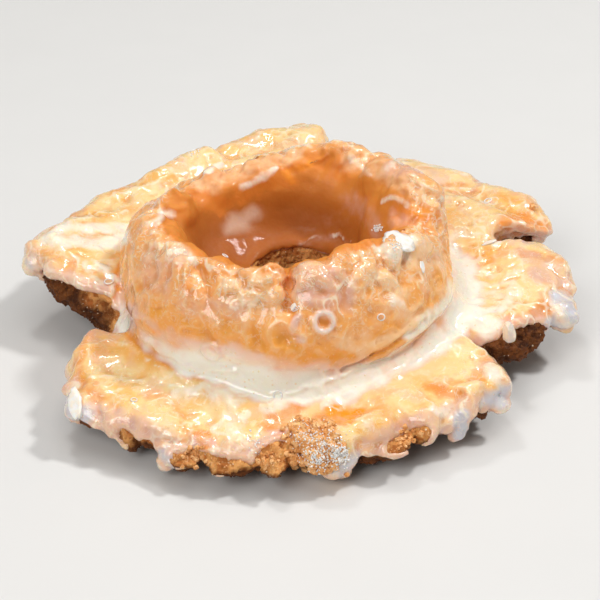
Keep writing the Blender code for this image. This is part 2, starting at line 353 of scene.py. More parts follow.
def pixels_of(numbers):
    """A path of pixels from a row of numbers: x, y, x, y and so on."""
    return tuple(zip(numbers[::2], numbers[1::2]))


def daubs_of(strokes):
    """The daubs of a table: for each tint rows of half width, strength, rise and the path."""
    return tuple(
        Daub(tint, pixels_of(row[3:]), *row[:3]) for tint, rows in strokes.items() for row in rows
    )


POOL_DAUBS = daubs_of({
    "blush": (
        (0.0016, 0.5, 0.0, 140, 316, 160, 330, 190, 346, 230, 353, 262, 358),
        (0.0026, 0.35, 0.0, 250, 372, 290, 378, 330, 376),
    ),
    "milk": (
        (0.0012, 0.8, 0.0001, 205, 366, 225, 366, 255, 378, 270, 386, 300, 388),
        (0.0018, 0.7, 0.0002, 320, 384, 345, 378, 365, 370),
        (0.0024, 0.9, 0.0002, 412, 334, 430, 318, 446, 302, 454, 284, 457, 262),
        (0.0028, 1.0, 0.0003, 450, 300, 468, 312, 486, 328),
        (0.0026, 0.8, 0.0001, 462, 262, 464, 284, 466, 300),
        (0.0026, 0.55, 0.0, 472, 296, 496, 294, 512, 292),
        (0.0018, 0.45, 0.0, 452, 238, 460, 232, 474, 234),
        (0.0013, 0.5, 0.0, 150, 344, 172, 356, 200, 369, 245, 380, 290, 388, 335, 384),
        (0.0024, 0.4, 0.0001, 335, 392, 370, 378, 410, 356, 440, 332),
    ),
})

PETAL_DAUBS = daubs_of({
    "milk": (
        # The first two rows: thick white glaze on the left petal, lightened also as painted
        # highlights.
        (0.0022, 0.9, 0.0002, 46, 238, 62, 228, 85, 228, 124, 230),
        (0.0026, 0.9, 0.0003, 60, 242, 85, 243, 112, 246, 126, 238),
        (0.0016, 0.55, 0.0004, 28, 246, 28, 256, 36, 266),
        (0.0009, 0.6, 0.0, 86, 262, 94, 276, 101, 281),
        (0.0011, 1.0, 0.0004, 97, 265, 109, 271, 115, 283, 108, 292),
        (0.001, 0.9, 0.0001, 205, 172, 222, 164),
        (0.0008, 0.4, 0.0, 94, 376, 120, 380, 150, 382, 180, 388),
        (0.0016, 0.7, 0.0001, 180, 396, 205, 386, 222, 396, 236, 404),
        (0.0024, 0.45, 0.0002, 228, 404, 232, 420, 240, 440),
        (0.0014, 0.7, 0.0001, 262, 412, 278, 404, 292, 400),
        (0.0009, 0.8, 0.0001, 325, 384, 324, 398, 327, 410),
        # A painted highlight on the front right petal.
        (0.002, 0.6, 0.0, 437, 352, 450, 344),
        (0.0016, 0.8, 0.0003, 490, 368, 498, 380, 502, 390),
        (0.0018, 0.6, 0.0001, 436, 410, 450, 416),
        (0.0012, 0.5, 0.0, 462, 286, 480, 284, 512, 284),
        (0.0009, 0.5, 0.0, 489, 277, 510, 277, 522, 270),
        (0.002, 0.5, 0.0, 458, 302, 480, 301, 506, 303),
        (0.0016, 0.8, 0.0001, 470, 310, 490, 312, 502, 310),
        (0.0026, 1.0, 0.0006, 553, 306, 564, 312, 569, 318),
        (0.0013, 0.7, 0.0003, 512, 328, 508, 342),
        (0.0012, 0.7, 0.0, 441, 199, 458, 196),
        (0.0014, 0.6, 0.0, 484, 202, 492, 205),
        (0.0016, 0.5, 0.0, 392, 163, 425, 164, 462, 172),
        (0.0014, 0.45, 0.0002, 52, 270, 66, 279, 80, 285),
        (0.001, 1.0, 0.0003, 486, 243, 496, 245),
    ),
    "blush": (
        (0.0024, 0.8, 0.0004, 50, 268, 62, 277, 76, 283, 92, 288),
        (0.003, 0.5, 0.0, 392, 166, 415, 170, 440, 176),
        (0.0034, 0.7, 0.0002, 540, 276, 556, 282, 566, 294),
        (0.0028, 0.6, 0.0, 520, 254, 538, 259, 554, 268),
        (0.0022, 0.6, 0.0, 30, 244, 30, 258, 40, 264),
        (0.0022, 0.5, 0.0, 50, 270, 70, 283, 92, 290),
        (0.0026, 0.8, 0.0003, 90, 412, 112, 421, 138, 430, 165, 432),
        (0.0026, 0.8, 0.0004, 168, 436, 176, 452, 168, 462),
        (0.0026, 0.7, 0.0003, 225, 448, 240, 460, 252, 456),
        (0.002, 0.7, 0.0002, 364, 446, 384, 438, 402, 430),
        (0.0022, 0.7, 0.0002, 424, 420, 445, 414, 468, 404),
        (0.0022, 0.6, 0.0002, 485, 366, 500, 378, 508, 392),
        (0.0018, 0.6, 0.0, 74, 378, 70, 395, 80, 408),
        (0.0026, 0.9, 0.0, 112, 315, 124, 311, 134, 314),
        (0.0026, 0.6, 0.0, 502, 235, 512, 232, 524, 230),
    ),
    "toast": (
        (0.0026, 0.45, 0.0, 40, 255, 60, 261, 82, 268, 106, 280),
        (0.0013, 0.55, 0.0, 44, 234, 70, 217, 100, 199, 135, 181),
        (0.0014, 0.7, 0.0, 88, 334, 81, 348, 78, 362),
        (0.0024, 0.6, 0.0, 76, 374, 86, 386, 100, 400),
        (0.0024, 0.45, 0.0, 150, 395, 168, 400, 185, 415),
        (0.0018, 0.9, -0.0001, 198, 432, 206, 444),
        (0.0016, 0.8, -0.0001, 148, 434, 157, 444),
        (0.0024, 0.8, 0.0, 270, 424, 288, 414, 298, 402),
        (0.0022, 0.7, -0.0002, 322, 416, 346, 420, 368, 410),
        (0.0026, 0.5, 0.0, 376, 402, 392, 416, 412, 424),
        (0.002, 0.8, 0.0, 432, 388, 450, 393, 463, 396),
        (0.0018, 0.5, 0.0, 468, 332, 482, 344, 488, 362),
        (0.002, 1.0, 0.0, 496, 336, 518, 322, 540, 311, 554, 304),
        (0.0018, 0.7, 0.0, 520, 252, 545, 258, 560, 262),
        (0.0014, 0.5, 0.0, 440, 184, 470, 188, 500, 196, 530, 208),
        (0.0036, 1.0, 0.0, 512, 221, 524, 220, 541, 229),
    ),
    "ember": (
        (0.0015, 1.0, 0.0, 331, 411, 346, 412, 362, 410),
        (0.0013, 1.0, 0.0, 344, 414, 347, 419),
        (0.0012, 0.5, 0.0, 202, 436, 206, 444),
        (0.0026, 0.42, 0.0, 510, 221, 524, 220, 541, 227),
    ),
    # Drops and beads of white glaze, greyed as painted shade.
    "frost": (
        (0.002, 1.0, 0.0, 462, 420, 463, 428, 462, 435),
        (0.0022, 0.9, 0.0, 490, 398, 500, 400, 505, 392),
        (0.0024, 0.9, 0.0001, 560, 298, 567, 306, 571, 316),
        (0.0016, 0.8, 0.0002, 548, 323, 560, 320, 568, 318),
        (0.0012, 0.6, 0.0, 512, 328, 506, 344),
        (0.0022, 0.8, 0.0, 66, 400, 72, 414, 84, 416),
        (0.0022, 0.8, 0.0, 330, 466, 345, 468, 352, 460),
        (0.0018, 0.7, 0.0, 162, 452, 172, 462),
        (0.0014, 0.6, 0.0, 28, 262, 34, 268),
    ),
    "honey": (
        (0.002, 0.6, 0.0, 98, 220, 122, 214, 140, 206),
        (0.0026, 0.6, 0.0, 146, 356, 165, 366),
        (0.0026, 0.4, 0.0, 105, 348, 125, 354),
        (0.0016, 0.6, 0.0, 212, 374, 222, 382),
        (0.0026, 0.4, 0.0, 245, 396, 262, 400),
        (0.0034, 0.5, 0.0, 350, 388, 380, 372, 420, 348, 455, 328),
        (0.002, 0.7, 0.0, 466, 274, 476, 264, 488, 260),
        (0.002, 0.4, 0.0, 440, 208, 458, 216, 448, 232),
        (0.0014, 0.9, 0.0, 114, 258, 122, 254),
    ),
    "cover": (
        (0.0016, 1.0, 0.0002, 118, 319, 126, 315, 134, 316),
        (0.002, 1.0, 0.0, 504, 226, 520, 224, 536, 220),
        (0.0024, 1.0, 0.0, 500, 238, 514, 234, 530, 230),
    ),
})

CROWN_DAUBS = daubs_of({
    "honey": (
        (0.0036, 0.9, 0.0, 150, 308, 172, 328, 205, 340, 245, 346, 290, 350),
        (0.0034, 0.8, 0.0, 310, 352, 340, 358, 375, 344, 410, 322, 432, 300, 440, 280),
        (0.0026, 0.5, 0.0, 370, 290, 395, 280, 412, 290),
        (0.0009, 1.0, 0.0, 343, 369, 356, 363, 372, 356, 392, 345, 405, 336, 416, 328),
    ),
    "toast": (
        (0.0014, 0.8, 0.0, 146, 282, 150, 290),
        (0.0016, 0.9, 0.0, 187, 290, 197, 300),
        (0.0012, 0.9, 0.0, 286, 300, 290, 314),
        (0.0026, 0.5, 0.0, 156, 246, 176, 240),
        (0.0026, 0.7, 0.0, 208, 262, 216, 268),
        (0.0018, 0.6, 0.0, 240, 274, 252, 276),
        (0.0026, 0.7, 0.0, 270, 268, 284, 276),
        (0.002, 0.6, 0.0, 334, 254, 344, 256),
        (0.002, 0.8, 0.0, 358, 246, 370, 246),
        (0.002, 1.0, 0.0, 398, 214, 420, 213, 438, 216),
        (0.0026, 1.0, 0.0, 262, 184, 285, 178, 300, 166, 320, 160, 345, 172),
        (0.0013, 0.5, 0.0, 196, 204, 220, 203, 250, 194),
        (0.0026, 0.9, 0.0, 200, 196, 208, 204, 222, 204),
        (0.0018, 0.7, 0.0, 240, 196, 262, 190, 278, 180),
        (0.0018, 0.6, 0.0, 360, 196, 376, 204),
        (0.003, 0.45, 0.0, 310, 296, 326, 302, 342, 300),
        (0.001, 0.9, 0.0, 318, 322, 330, 322),
        (0.0018, 1.0, 0.0, 270, 428, 280, 434, 288, 442),
    ),
    "ember": (
        (0.0014, 0.6, 0.0, 414, 210, 432, 212),
        (0.0016, 0.5, 0.0, 290, 176, 308, 166),
    ),
    "blush": (
        (0.004, 0.5, 0.0, 150, 262, 162, 280, 175, 258),
        (0.003, 0.4, 0.0, 185, 300, 205, 310, 240, 304),
        (0.004, 0.65, 0.0, 300, 272, 312, 284, 332, 280),
        (0.0012, 1.0, 0.0002, 295, 318, 298, 340),
        (0.0036, 0.65, 0.0, 306, 292, 326, 300, 344, 294),
        (0.0018, 0.5, 0.0, 390, 218, 402, 222, 412, 226),
        (0.0034, 0.2, 0.0, 334, 222, 342, 214, 346, 204),
        (0.0016, 0.25, 0.0, 302, 243, 318, 238, 336, 238, 350, 244),
        (0.0034, 0.35, 0.0, 350, 200, 368, 214, 376, 230),
    ),
    "milk": (
        (0.0006, 0.5, 0.0001, 300, 241, 318, 236, 338, 236, 354, 243),
        # Pale glaze on the crest's outer face, partly a painted highlight.
        (0.0014, 0.7, 0.0001, 149, 223, 159, 216, 171, 211),
        (0.0009, 0.7, 0.0001, 172, 252, 184, 250, 196, 262),
        (0.0012, 0.7, 0.0001, 243, 186, 262, 178, 276, 168),
        (0.0022, 0.7, 0.0003, 382, 250, 395, 250, 408, 246),
        (0.001, 0.7, 0.0, 352, 372, 374, 363, 396, 352, 414, 338, 430, 322),
        (0.0014, 0.6, 0.0002, 394, 300, 400, 306),
        (0.001, 0.6, 0.0001, 352, 158, 362, 164, 368, 176),
        (0.0009, 0.6, 0.0001, 384, 198, 400, 201, 414, 208),
    ),
    # A painted reflection of a window on the crater's left wall.
    "sheen": (
        (0.0022, 0.6, 0.0, 228, 227, 240, 221, 254, 214),
    ),
    # Pale patches on the crown: partly paler glaze, partly painted highlights.
    "glow": (
        (0.0018, 0.55, 0.0001, 224, 280, 232, 284, 248, 282, 262, 280),
        (0.0014, 0.45, 0.0001, 262, 284, 280, 276, 290, 284),
        (0.0014, 0.8, 0.0001, 328, 285, 338, 278, 350, 284),
        (0.0038, 0.6, 0.0, 205, 182, 226, 172, 250, 165, 290, 156),
        (0.003, 0.7, 0.0, 150, 250, 166, 244, 184, 256),
        (0.0034, 0.6, 0.0, 352, 160, 384, 170, 410, 184, 430, 200),
        (0.003, 0.8, 0.0, 400, 262, 416, 252, 428, 240),
        (0.0024, 0.45, 0.0, 356, 262, 372, 256, 384, 266),
        (0.0026, 0.8, 0.0, 236, 298, 252, 303, 266, 300),
        (0.0024, 0.7, 0.0, 426, 262, 438, 258, 444, 272),
        (0.0036, 0.4, 0.0, 404, 256, 418, 262, 430, 284, 438, 296),
        (0.0022, 0.6, 0.0, 334, 338, 352, 344, 366, 338),
        (0.002, 0.5, 0.0, 392, 314, 406, 318, 418, 306),
        (0.0024, 0.8, 0.0001, 372, 276, 392, 278, 400, 292),
        (0.0016, 0.9, 0.0, 362, 350, 384, 340, 404, 330, 426, 314),
    ),
})

# Rows of half width, right, up, away and the path.
SHIFTS = tuple(Shift(pixels_of(row[4:]), *row[:4]) for row in (
    (0.0052, -0.0015, 0.0, 0.0, 368, 186, 378, 202, 380, 218, 372, 236),
    (0.0022, 0.0, 0.0, 0.0014, 290, 268, 290, 285, 288, 306),
    (0.0048, 0.0, 0.0, -0.0009, 302, 280, 318, 278, 330, 284),
    (0.0034, 0.0, 0.0, -0.0007, 345, 272, 360, 276),
    (0.003, 0.0, 0.0, -0.0007, 270, 282, 276, 290),
    (0.0034, 0.0, 0.0, -0.0007, 225, 286, 238, 292),
    (0.0046, 0.0, 0.0, -0.0006, 180, 270, 190, 290),
    (0.0022, 0.0, 0.0, 0.0008, 206, 276, 208, 292),
    (0.0018, 0.0, 0.0, 0.0007, 340, 282, 342, 300),
    (0.0052, 0.0, 0.0011, 0.0, 140, 338, 165, 362, 200, 384, 240, 394, 285, 404),
    (0.0056, 0.0, -0.0015, 0.0, 196, 244, 214, 252, 234, 258, 256, 260, 272, 258),
    (0.0046, 0.0, -0.0009, 0.0, 284, 262, 300, 260, 320, 256),
    (0.003, 0.0, 0.0013, 0.0, 200, 262, 214, 264),
    (0.002, 0.0, -0.001, 0.0, 228, 269, 228, 269),
    (0.0018, 0.0, 0.0008, 0.0, 245, 270, 245, 270),
    (0.0018, 0.0, -0.001, 0.0, 257, 271, 257, 271),
    (0.0026, 0.0, 0.0015, 0.0, 272, 269, 272, 269),
    (0.0028, 0.0, 0.0009, 0.0, 303, 270, 313, 268),
    (0.0034, 0.0, 0.0014, 0.0, 326, 258, 338, 258),
    (0.0017, 0.0, -0.0009, 0.0, 348, 257, 348, 257),
    (0.003, 0.0, 0.0012, 0.0, 356, 252, 368, 249),
    (0.008, 0.0004, 0.0024, 0.0, 346, 158, 364, 166, 382, 178, 402, 190, 422, 202),
    (0.007, 0.0005, 0.0008, 0.0, 428, 206, 440, 222, 446, 240),
    (0.0056, 0.0, -0.0014, 0.0, 212, 172, 240, 160, 270, 154, 298, 152),
    (0.0036, 0.0, -0.0007, -0.0014, 182, 460, 205, 465, 235, 468),
    (0.003, 0.0, -0.0012, -0.002, 278, 467, 290, 470, 308, 472),
    (0.003, 0.0, -0.0016, 0.0, 485, 354, 494, 362, 505, 360),
    (0.003, 0.0004, -0.001, 0.0, 534, 340, 546, 334),
    (0.003, 0.0, -0.0013, 0.0, 490, 338, 500, 334, 511, 330),
    (0.003, -0.0004, 0.001, 0.0, 568, 322, 560, 326),
    (0.0044, 0.0016, 0.0026, 0.0, 22, 256, 26, 264, 36, 272),
    (0.003, 0.0, 0.001, 0.0, 480, 412, 494, 410),
    (0.004, 0.0014, 0.0, 0.0, 540, 240, 548, 246),
    (0.007, 0.001, 0.0, 0.0, 124, 252, 125, 275, 130, 296),
    (0.0028, 0.0, -0.0012, -0.0013, 130, 441, 140, 446, 150, 448),
    (0.0026, 0.0, -0.0008, -0.0012, 392, 450, 412, 442, 430, 436),
    (0.007, -0.0003, 0.0011, 0.0, 30, 250, 48, 238, 70, 226),
    (0.0055, 0.0, 0.0022, 0.0, 164, 180, 184, 170, 208, 161),
    (0.0042, 0.0, -0.0012, 0.0, 84, 216, 104, 206, 124, 197),
    (0.005, 0.0, -0.0023, 0.0, 228, 150, 250, 143, 274, 140),
    (0.004, 0.0, -0.0008, 0.0, 332, 150, 348, 152, 364, 158),
    (0.004, 0.0, -0.0005, 0.0, 392, 160, 410, 162, 425, 166),
    (0.0054, 0.0, -0.0024, 0.0, 456, 182, 480, 190, 506, 199, 528, 212),
    (0.0042, 0.0028, -0.0008, 0.0, 536, 222, 541, 232),
    (0.0026, 0.0, 0.0, 0.003, 500, 239, 516, 234, 530, 230, 538, 234),
    (0.005, 0.001, 0.0003, 0.0, 556, 262, 562, 276, 566, 288),
    (0.0044, -0.001, 0.0006, 0.0, 574, 312, 566, 322, 556, 324),
    (0.004, 0.0006, -0.0012, 0.0, 505, 352, 520, 346, 538, 338),
    (0.0042, 0.0, 0.003, 0.0, 470, 404, 486, 406, 502, 399),
    (0.003, 0.0009, 0.0, 0.0, 494, 368, 499, 380, 500, 390),
    (0.0036, 0.0, 0.0006, 0.0, 428, 424, 446, 420),
    (0.0036, 0.0011, 0.0003, 0.0, 64, 362, 64, 378, 64, 396),
    (0.0036, -0.0006, 0.0004, 0.0, 98, 334, 92, 342, 86, 350),
))

# Rows of half width, height and the path.
FOLDS = tuple(Fold(pixels_of(row[2:]), *row[:2]) for row in (
    (
        0.0004, 0.00028, 120, 262, 130, 243, 146, 230, 164, 230, 180, 240, 187, 256, 186, 280, 180,
        310,
    ),
    (0.0003, 0.00034, 222, 280, 226, 290, 235, 286, 240, 291, 250, 288),
    (0.0003, 0.00034, 250, 297, 253, 305, 250, 311),
    (0.0003, 0.00034, 266, 268, 272, 273, 280, 277, 286, 281),
    (0.0003, 0.00034, 270, 280, 275, 288, 282, 291),
    (0.0003, 0.00034, 307, 268, 317, 273, 325, 280, 340, 276),
    (0.0003, 0.00034, 340, 268, 350, 273, 352, 283),
    (0.0003, 0.0003, 356, 288, 355, 308),
    (0.0003, 0.00034, 372, 266, 377, 276, 382, 286),
    (0.0004, 0.0003, 160, 247, 175, 252, 182, 262, 186, 277),
    (0.0003, 0.0003, 150, 231, 160, 227, 172, 236),
    (0.0003, 0.0003, 130, 242, 127, 255, 126, 271),
    (0.0003, 0.00022, 337, 325, 350, 317, 360, 310),
    (0.0003, 0.0003, 386, 262, 398, 268, 404, 280),
    (0.0005, -0.0003, 291, 272, 290, 290, 287, 312),
    (0.0004, 0.00025, 333, 292, 334, 308),
    (0.0004, 0.00018, 340, 340, 352, 325, 372, 308),
    (
        0.0005, 0.00028, 137, 326, 142, 340, 157, 350, 175, 357, 187, 367, 200, 372, 217, 367, 235,
        372,
    ),
    (0.0005, 0.00026, 235, 372, 245, 381, 262, 388, 275, 391, 290, 393, 306, 390),
    (0.0004, 0.0002, 306, 390, 322, 384, 340, 375, 362, 366, 384, 355),
    (0.0006, 0.00024, 50, 238, 62, 250, 76, 254, 96, 253),
    (0.0008, 0.00024, 62, 230, 84, 236, 108, 238, 124, 244),
    (0.0007, 0.00022, 72, 222, 100, 214, 128, 212),
    (0.0007, 0.00022, 110, 198, 140, 190, 168, 176, 196, 166),
    (0.0005, 0.00025, 150, 202, 175, 184, 205, 172),
    (0.0004, 0.00026, 462, 288, 480, 283, 497, 286, 512, 284),
    (0.0004, 0.00026, 482, 272, 500, 277, 512, 272, 520, 268),
    (0.0004, 0.00026, 459, 303, 478, 300, 495, 303, 508, 300),
    (0.0006, 0.00024, 466, 314, 484, 320, 500, 312),
    (0.0005, 0.00022, 512, 290, 520, 298, 518, 306),
    (0.0006, 0.00022, 440, 200, 456, 196, 470, 206, 494, 208),
    (0.0007, 0.00022, 400, 178, 425, 186, 452, 190, 480, 188),
    (0.0005, 0.00022, 446, 222, 460, 228, 478, 226),
    (0.0005, 0.00022, 94, 375, 120, 379, 150, 381, 180, 390),
    (0.0006, 0.00022, 86, 350, 104, 342, 128, 346),
    (0.0005, 0.00024, 178, 400, 196, 392, 212, 388, 224, 398, 238, 402),
    (0.0005, 0.00022, 150, 366, 172, 372, 186, 384),
    (0.0004, 0.00026, 326, 382, 322, 398, 328, 410),
    (0.0007, 0.00022, 232, 404, 236, 424, 246, 442),
    (0.0006, 0.00022, 258, 408, 274, 402, 292, 396),
    (0.0006, 0.00022, 346, 394, 372, 386, 400, 372, 420, 356),
    (0.0006, 0.00022, 396, 396, 420, 384, 446, 368),
    (0.0005, 0.00024, 440, 350, 452, 343, 462, 352, 470, 368),
    (0.0005, 0.00024, 462, 386, 472, 396, 466, 404),
    (0.0005, 0.00018, 208, 300, 222, 308, 244, 306),
    (0.0005, 0.0002, 350, 270, 362, 284, 356, 300),
    (0.0004, 0.00022, 300, 240, 318, 235, 338, 235, 354, 243),
))

CRUST_DAUBS = daubs_of({
    "bare": (
        (0.002, 1.0, 0.0, 176, 457, 200, 461, 222, 466, 246, 470, 262, 472),
        (0.0024, 1.0, 0.0, 262, 462, 275, 466, 290, 470),
        (0.0018, 1.0, 0.0, 268, 452, 282, 448, 296, 454),
        (0.0018, 1.0, 0.0, 394, 446, 408, 440, 422, 434),
        (0.0016, 1.0, 0.0, 124, 434, 138, 444, 150, 446),
        (0.0034, 1.0, 0.0, 46, 284, 60, 296, 80, 305, 100, 312, 112, 322),
        (0.002, 1.0, 0.0, 64, 288, 84, 297, 104, 303),
        (0.0032, 1.0, 0.0, 494, 354, 515, 350, 535, 342, 556, 334),
        (0.0018, 1.0, 0.0, 508, 340, 522, 335, 540, 331),
        (0.0013, 1.0, 0.0, 506, 242, 520, 240, 540, 237),
    ),
})

# The fissure in the front glaze, with raised lips at its sides.
FISSURE = ((343, 369), (356, 363), (372, 356), (392, 345), (405, 336), (416, 328), (424, 321))
FISSURE_WIDTH = 0.00042
FISSURE_DEPTH = 0.00042
FISSURE_LIP = 0.0010
FISSURE_LIP_WIDTH = 0.0005
FISSURE_LIP_HEIGHT = 0.0003

DROPS = (
    Drop(244, 0.0440, 0.0060, 0.0018, 0.0014),
    Drop(281, 0.0420, 0.0060, 0.0016, 0.0026),
    Drop(312, 0.0434, 0.0076, 0.0027, 0.0014),
    Drop(323, 0.0456, 0.0080, 0.0048, 0.0019),
    Drop(341, 0.0414, 0.0140, 0.0102, 0.0011),
    Drop(356, 0.0506, 0.0112, 0.0076, 0.0022),
    Drop(168, 0.0480, 0.0146, 0.0100, 0.0022),
    Drop(220, 0.0458, 0.0080, 0.0044, 0.0014),
)

# Bubbles larger than this are relief in the glaze: a ring round a raised or sunken middle.
SMALL_BUBBLE = 0.0009
BUBBLE_REACH = 0.004
RING_HEIGHT = 0.00042
RING_WIDTH = 0.00042
RING_PALE_WIDTH = 0.0004
MIDDLE_HEIGHT = 0.0003

# Small bubbles are rings of their own: how thick, and how far out of the glaze, for their radius.
SMALL_RING = 0.19
SMALL_RING_LIFT = 0.16

# A flake's flat face and its place, as shares of its thickness, and how uneven its outline is.
FLAKE_TOP = 0.24
FLAKE_LIFT = 0.15
FLAKE_WAVES = ((0.34, 2.6), (0.16, 7))

BUBBLES = (
    Bubble((324, 322), 0.0016, True),
    Bubble((211, 352), 0.0015, False),
    Bubble((381, 317), 0.0006, False),
    Bubble((225, 256), 0.0005, False),
    Bubble((300, 256), 0.0004, False),
    Bubble((134, 400), 0.0005, False),
    Bubble((278, 395), 0.0007, True),
    Bubble((109, 282), 0.0008, False),
    Bubble((488, 201), 0.0007, False),
    Bubble((330, 373), 0.0012, False),
)

CHIPS = (
    Chip((399, 242), 0.0066, 0.0056, 0.0013, 50, 0.6),
    Chip((422, 266), 0.0024, 0.0011, 0.0004, -55),
    Chip((76, 405), 0.0052, 0.0026, 0.0016, 35),
    Chip((294, 307), 0.0014, 0.0010, 0.0008, 0),
    Chip((489, 243), 0.0030, 0.0012, 0.0006, -10),
)

GRAINS = (
    Scatter((322, 448), 22, 260, 0.00027),
    Scatter((304, 436), 14, 90, 0.00024),
    Scatter((340, 455), 9, 150, 0.00040),
    Scatter((318, 462), 10, 70, 0.00034),
    Scatter((378, 228), 4, 46, 0.00036),
    Scatter((194, 150), 6, 34, 0.00032),
    Scatter((287, 128), 3, 10, 0.00030),
    Scatter((396, 243), 9, 46, 0.00030),
    Scatter((255, 440), 12, 40, 0.00026),
    Scatter((296, 308), 4, 22, 0.00026),
)

CRUMBS = (
    Scatter((318, 447), 22, 170, 0.0013),
    Scatter((300, 434), 12, 50, 0.0010),
    Scatter((268, 460), 9, 22, 0.0007),
    Scatter((196, 458), 10, 30, 0.0008),
    Scatter((406, 440), 10, 34, 0.0007),
    Scatter((533, 207), 1.5, 5, 0.0012),
    Scatter((66.5, 382), 0.6, 3, 0.0012),
)

# Strewn bodies: how their sizes and lengths vary, how far they tilt, and how far out they lie.
SIZE_RANGE = (0.55, 1.35)
STRETCH_RANGE = (0.7, 1.3)
MOST_TILT = 0.6
REST_LIFT = 0.22

# The height that the lights face, and the side and the place of each light.
LIT_HEIGHT = 0.015
LIGHTS = {
    "top": (0.60, (0.0, 0.04, 0.72)),
    "key": (0.09, (-0.12, 0.24, 0.60)),
    "window": (0.16, (0.58, 0.08, 0.26)),
    "side": (0.10, (0.506, 0.125, 0.733)),
    "fill": (0.38, (-0.30, -0.52, 0.50)),
}


class CrustSettings(bpy.types.PropertyGroup):
    """The fried crust."""

    grid: bpy.props.FloatProperty(
        name="Grid", description="Size of the crust's faces", default=0.00044, unit="LENGTH",
        precision=5,
    )
    lump_depth: bpy.props.FloatProperty(
        name="Lumps", description="Depth of the crust's lumps", default=0.0009, unit="LENGTH",
        precision=5,
    )
    lump_size: bpy.props.FloatProperty(
        name="Lump size", description="Width of one lump", default=0.0013, unit="LENGTH",
        precision=5,
    )
    grit_depth: bpy.props.FloatProperty(
        name="Grit", description="Depth of the fine grit", default=0.0007, unit="LENGTH",
        precision=5,
    )
    grit_size: bpy.props.FloatProperty(
        name="Grit size", description="Width of one grain of grit", default=0.0007,
        unit="LENGTH", precision=5,
    )
    golden: bpy.props.FloatVectorProperty(
        name="Golden", description="Crust that faces up", subtype="COLOR",
        default=(0.78, 0.37, 0.115),
    )
    # Crust that faces down or lies away from the front: browner crust, darkened also as painted
    # shade.
    brown: bpy.props.FloatVectorProperty(
        name="Brown", description="Crust that faces down", subtype="COLOR",
        default=(0.165, 0.050, 0.011),
    )


class GlazeSettings(bpy.types.PropertyGroup):
    """The sugar glaze."""

    grid: bpy.props.FloatProperty(
        name="Grid", description="Size of the glaze's faces", default=0.00040, unit="LENGTH",
        precision=5,
    )
    thickness: bpy.props.FloatProperty(
        name="Thickness", description="Thickness on open crust", default=0.00036, unit="LENGTH",
        precision=5,
    )
    creep: bpy.props.FloatProperty(
        name="Creep", description="How far it runs on below a rim", default=0.0014,
        unit="LENGTH", precision=5,
    )
    ripple: bpy.props.FloatProperty(
        name="Ripple", description="Height of its soft ripples", default=0.00021, unit="LENGTH",
        precision=5,
    )
    petal: bpy.props.FloatVectorProperty(
        name="Petal", description="Thin glaze over a petal", subtype="COLOR",
        default=(0.97, 0.67, 0.31),
    )
    gold: bpy.props.FloatVectorProperty(
        name="Gold", description="Golden patches of a petal", subtype="COLOR",
        default=(0.95, 0.51, 0.14),
    )
    crown: bpy.props.FloatVectorProperty(
        name="Crown", description="Thin glaze over the crown", subtype="COLOR",
        default=(0.94, 0.42, 0.13),
    )
    # The crater's glaze is darker than the crown's, partly its own deeper amber and partly painted
    # shade.
    crater: bpy.props.FloatVectorProperty(
        name="Crater", description="Glaze inside the crater", subtype="COLOR",
        default=(0.72, 0.245, 0.033),
    )
    honey: bpy.props.FloatVectorProperty(
        name="Honey", description="Clear deep glaze", subtype="COLOR", default=(0.92, 0.37, 0.045)
    )
    toast: bpy.props.FloatVectorProperty(
        name="Toast", description="Dark crust that shows through", subtype="COLOR",
        default=(0.80, 0.255, 0.032),
    )
    blush: bpy.props.FloatVectorProperty(
        name="Blush", description="Half clear glaze", subtype="COLOR", default=(0.74, 0.45, 0.38)
    )
    # Pale patches of the crown: partly paler glaze, partly painted highlights.
    glow: bpy.props.FloatVectorProperty(
        name="Glow", description="Pale patches of the crown", subtype="COLOR",
        default=(1.0, 0.66, 0.38),
    )
    ember: bpy.props.FloatVectorProperty(
        name="Ember", description="Clear glaze over a hole", subtype="COLOR",
        default=(1.0, 0.34, 0.012),
    )
    # White glaze of drops and beads, greyed as painted shade.
    frost: bpy.props.FloatVectorProperty(
        name="Frost", description="Cold white glaze of drops and beads", subtype="COLOR",
        default=(0.62, 0.60, 0.63),
    )
    milk: bpy.props.FloatVectorProperty(
        name="Milk", description="Thick white glaze", subtype="COLOR", default=(0.96, 0.88, 0.74)
    )


class ToppingSettings(bpy.types.PropertyGroup):
    """Flakes, sugar grains and crumbs."""

    seed: bpy.props.IntProperty(name="Seed", description="Seed of every random draw", default=11)
    sugar: bpy.props.FloatVectorProperty(
        name="Sugar", description="Grains and flakes", subtype="COLOR", default=(0.94, 0.92, 0.88)
    )
    crumb: bpy.props.FloatVectorProperty(
        name="Crumb", description="Loose crumbs", subtype="COLOR", default=(0.76, 0.33, 0.09)
    )


class StageSettings(bpy.types.PropertyGroup):
    """The floor, the lights and the air."""

    top: bpy.props.FloatProperty(
        name="Top", description="Power of the soft top light", default=1.40, unit="POWER"
    )
    key: bpy.props.FloatProperty(
        name="Key", description="Power of the small sharp light", default=0.62, unit="POWER"
    )
    window: bpy.props.FloatProperty(
        name="Window", description="Power of the light at the right", default=0.12, unit="POWER"
    )
    side: bpy.props.FloatProperty(
        name="Side", description="Power of the light high up at the right", default=3.80,
        unit="POWER",
    )
    fill: bpy.props.FloatProperty(
        name="Fill", description="Power of the light in front", default=2.60, unit="POWER"
    )
    air: bpy.props.FloatProperty(
        name="Air", description="Strength of the light all round", default=0.18
    )
    floor: bpy.props.FloatVectorProperty(
        name="Floor", description="Colour of the floor", subtype="COLOR", default=(0.74, 0.73, 0.71)
    )


def ease(share):
    """0 up to 0, 1 from 1, and an even S between, for a number or an array."""
    share = np.clip(share, 0, 1)
    return share * share * (3 - 2 * share)


def bell(away, width):
    """1 at 0, and fading to both sides over the width."""
    return np.exp(-((away / width) ** 2))


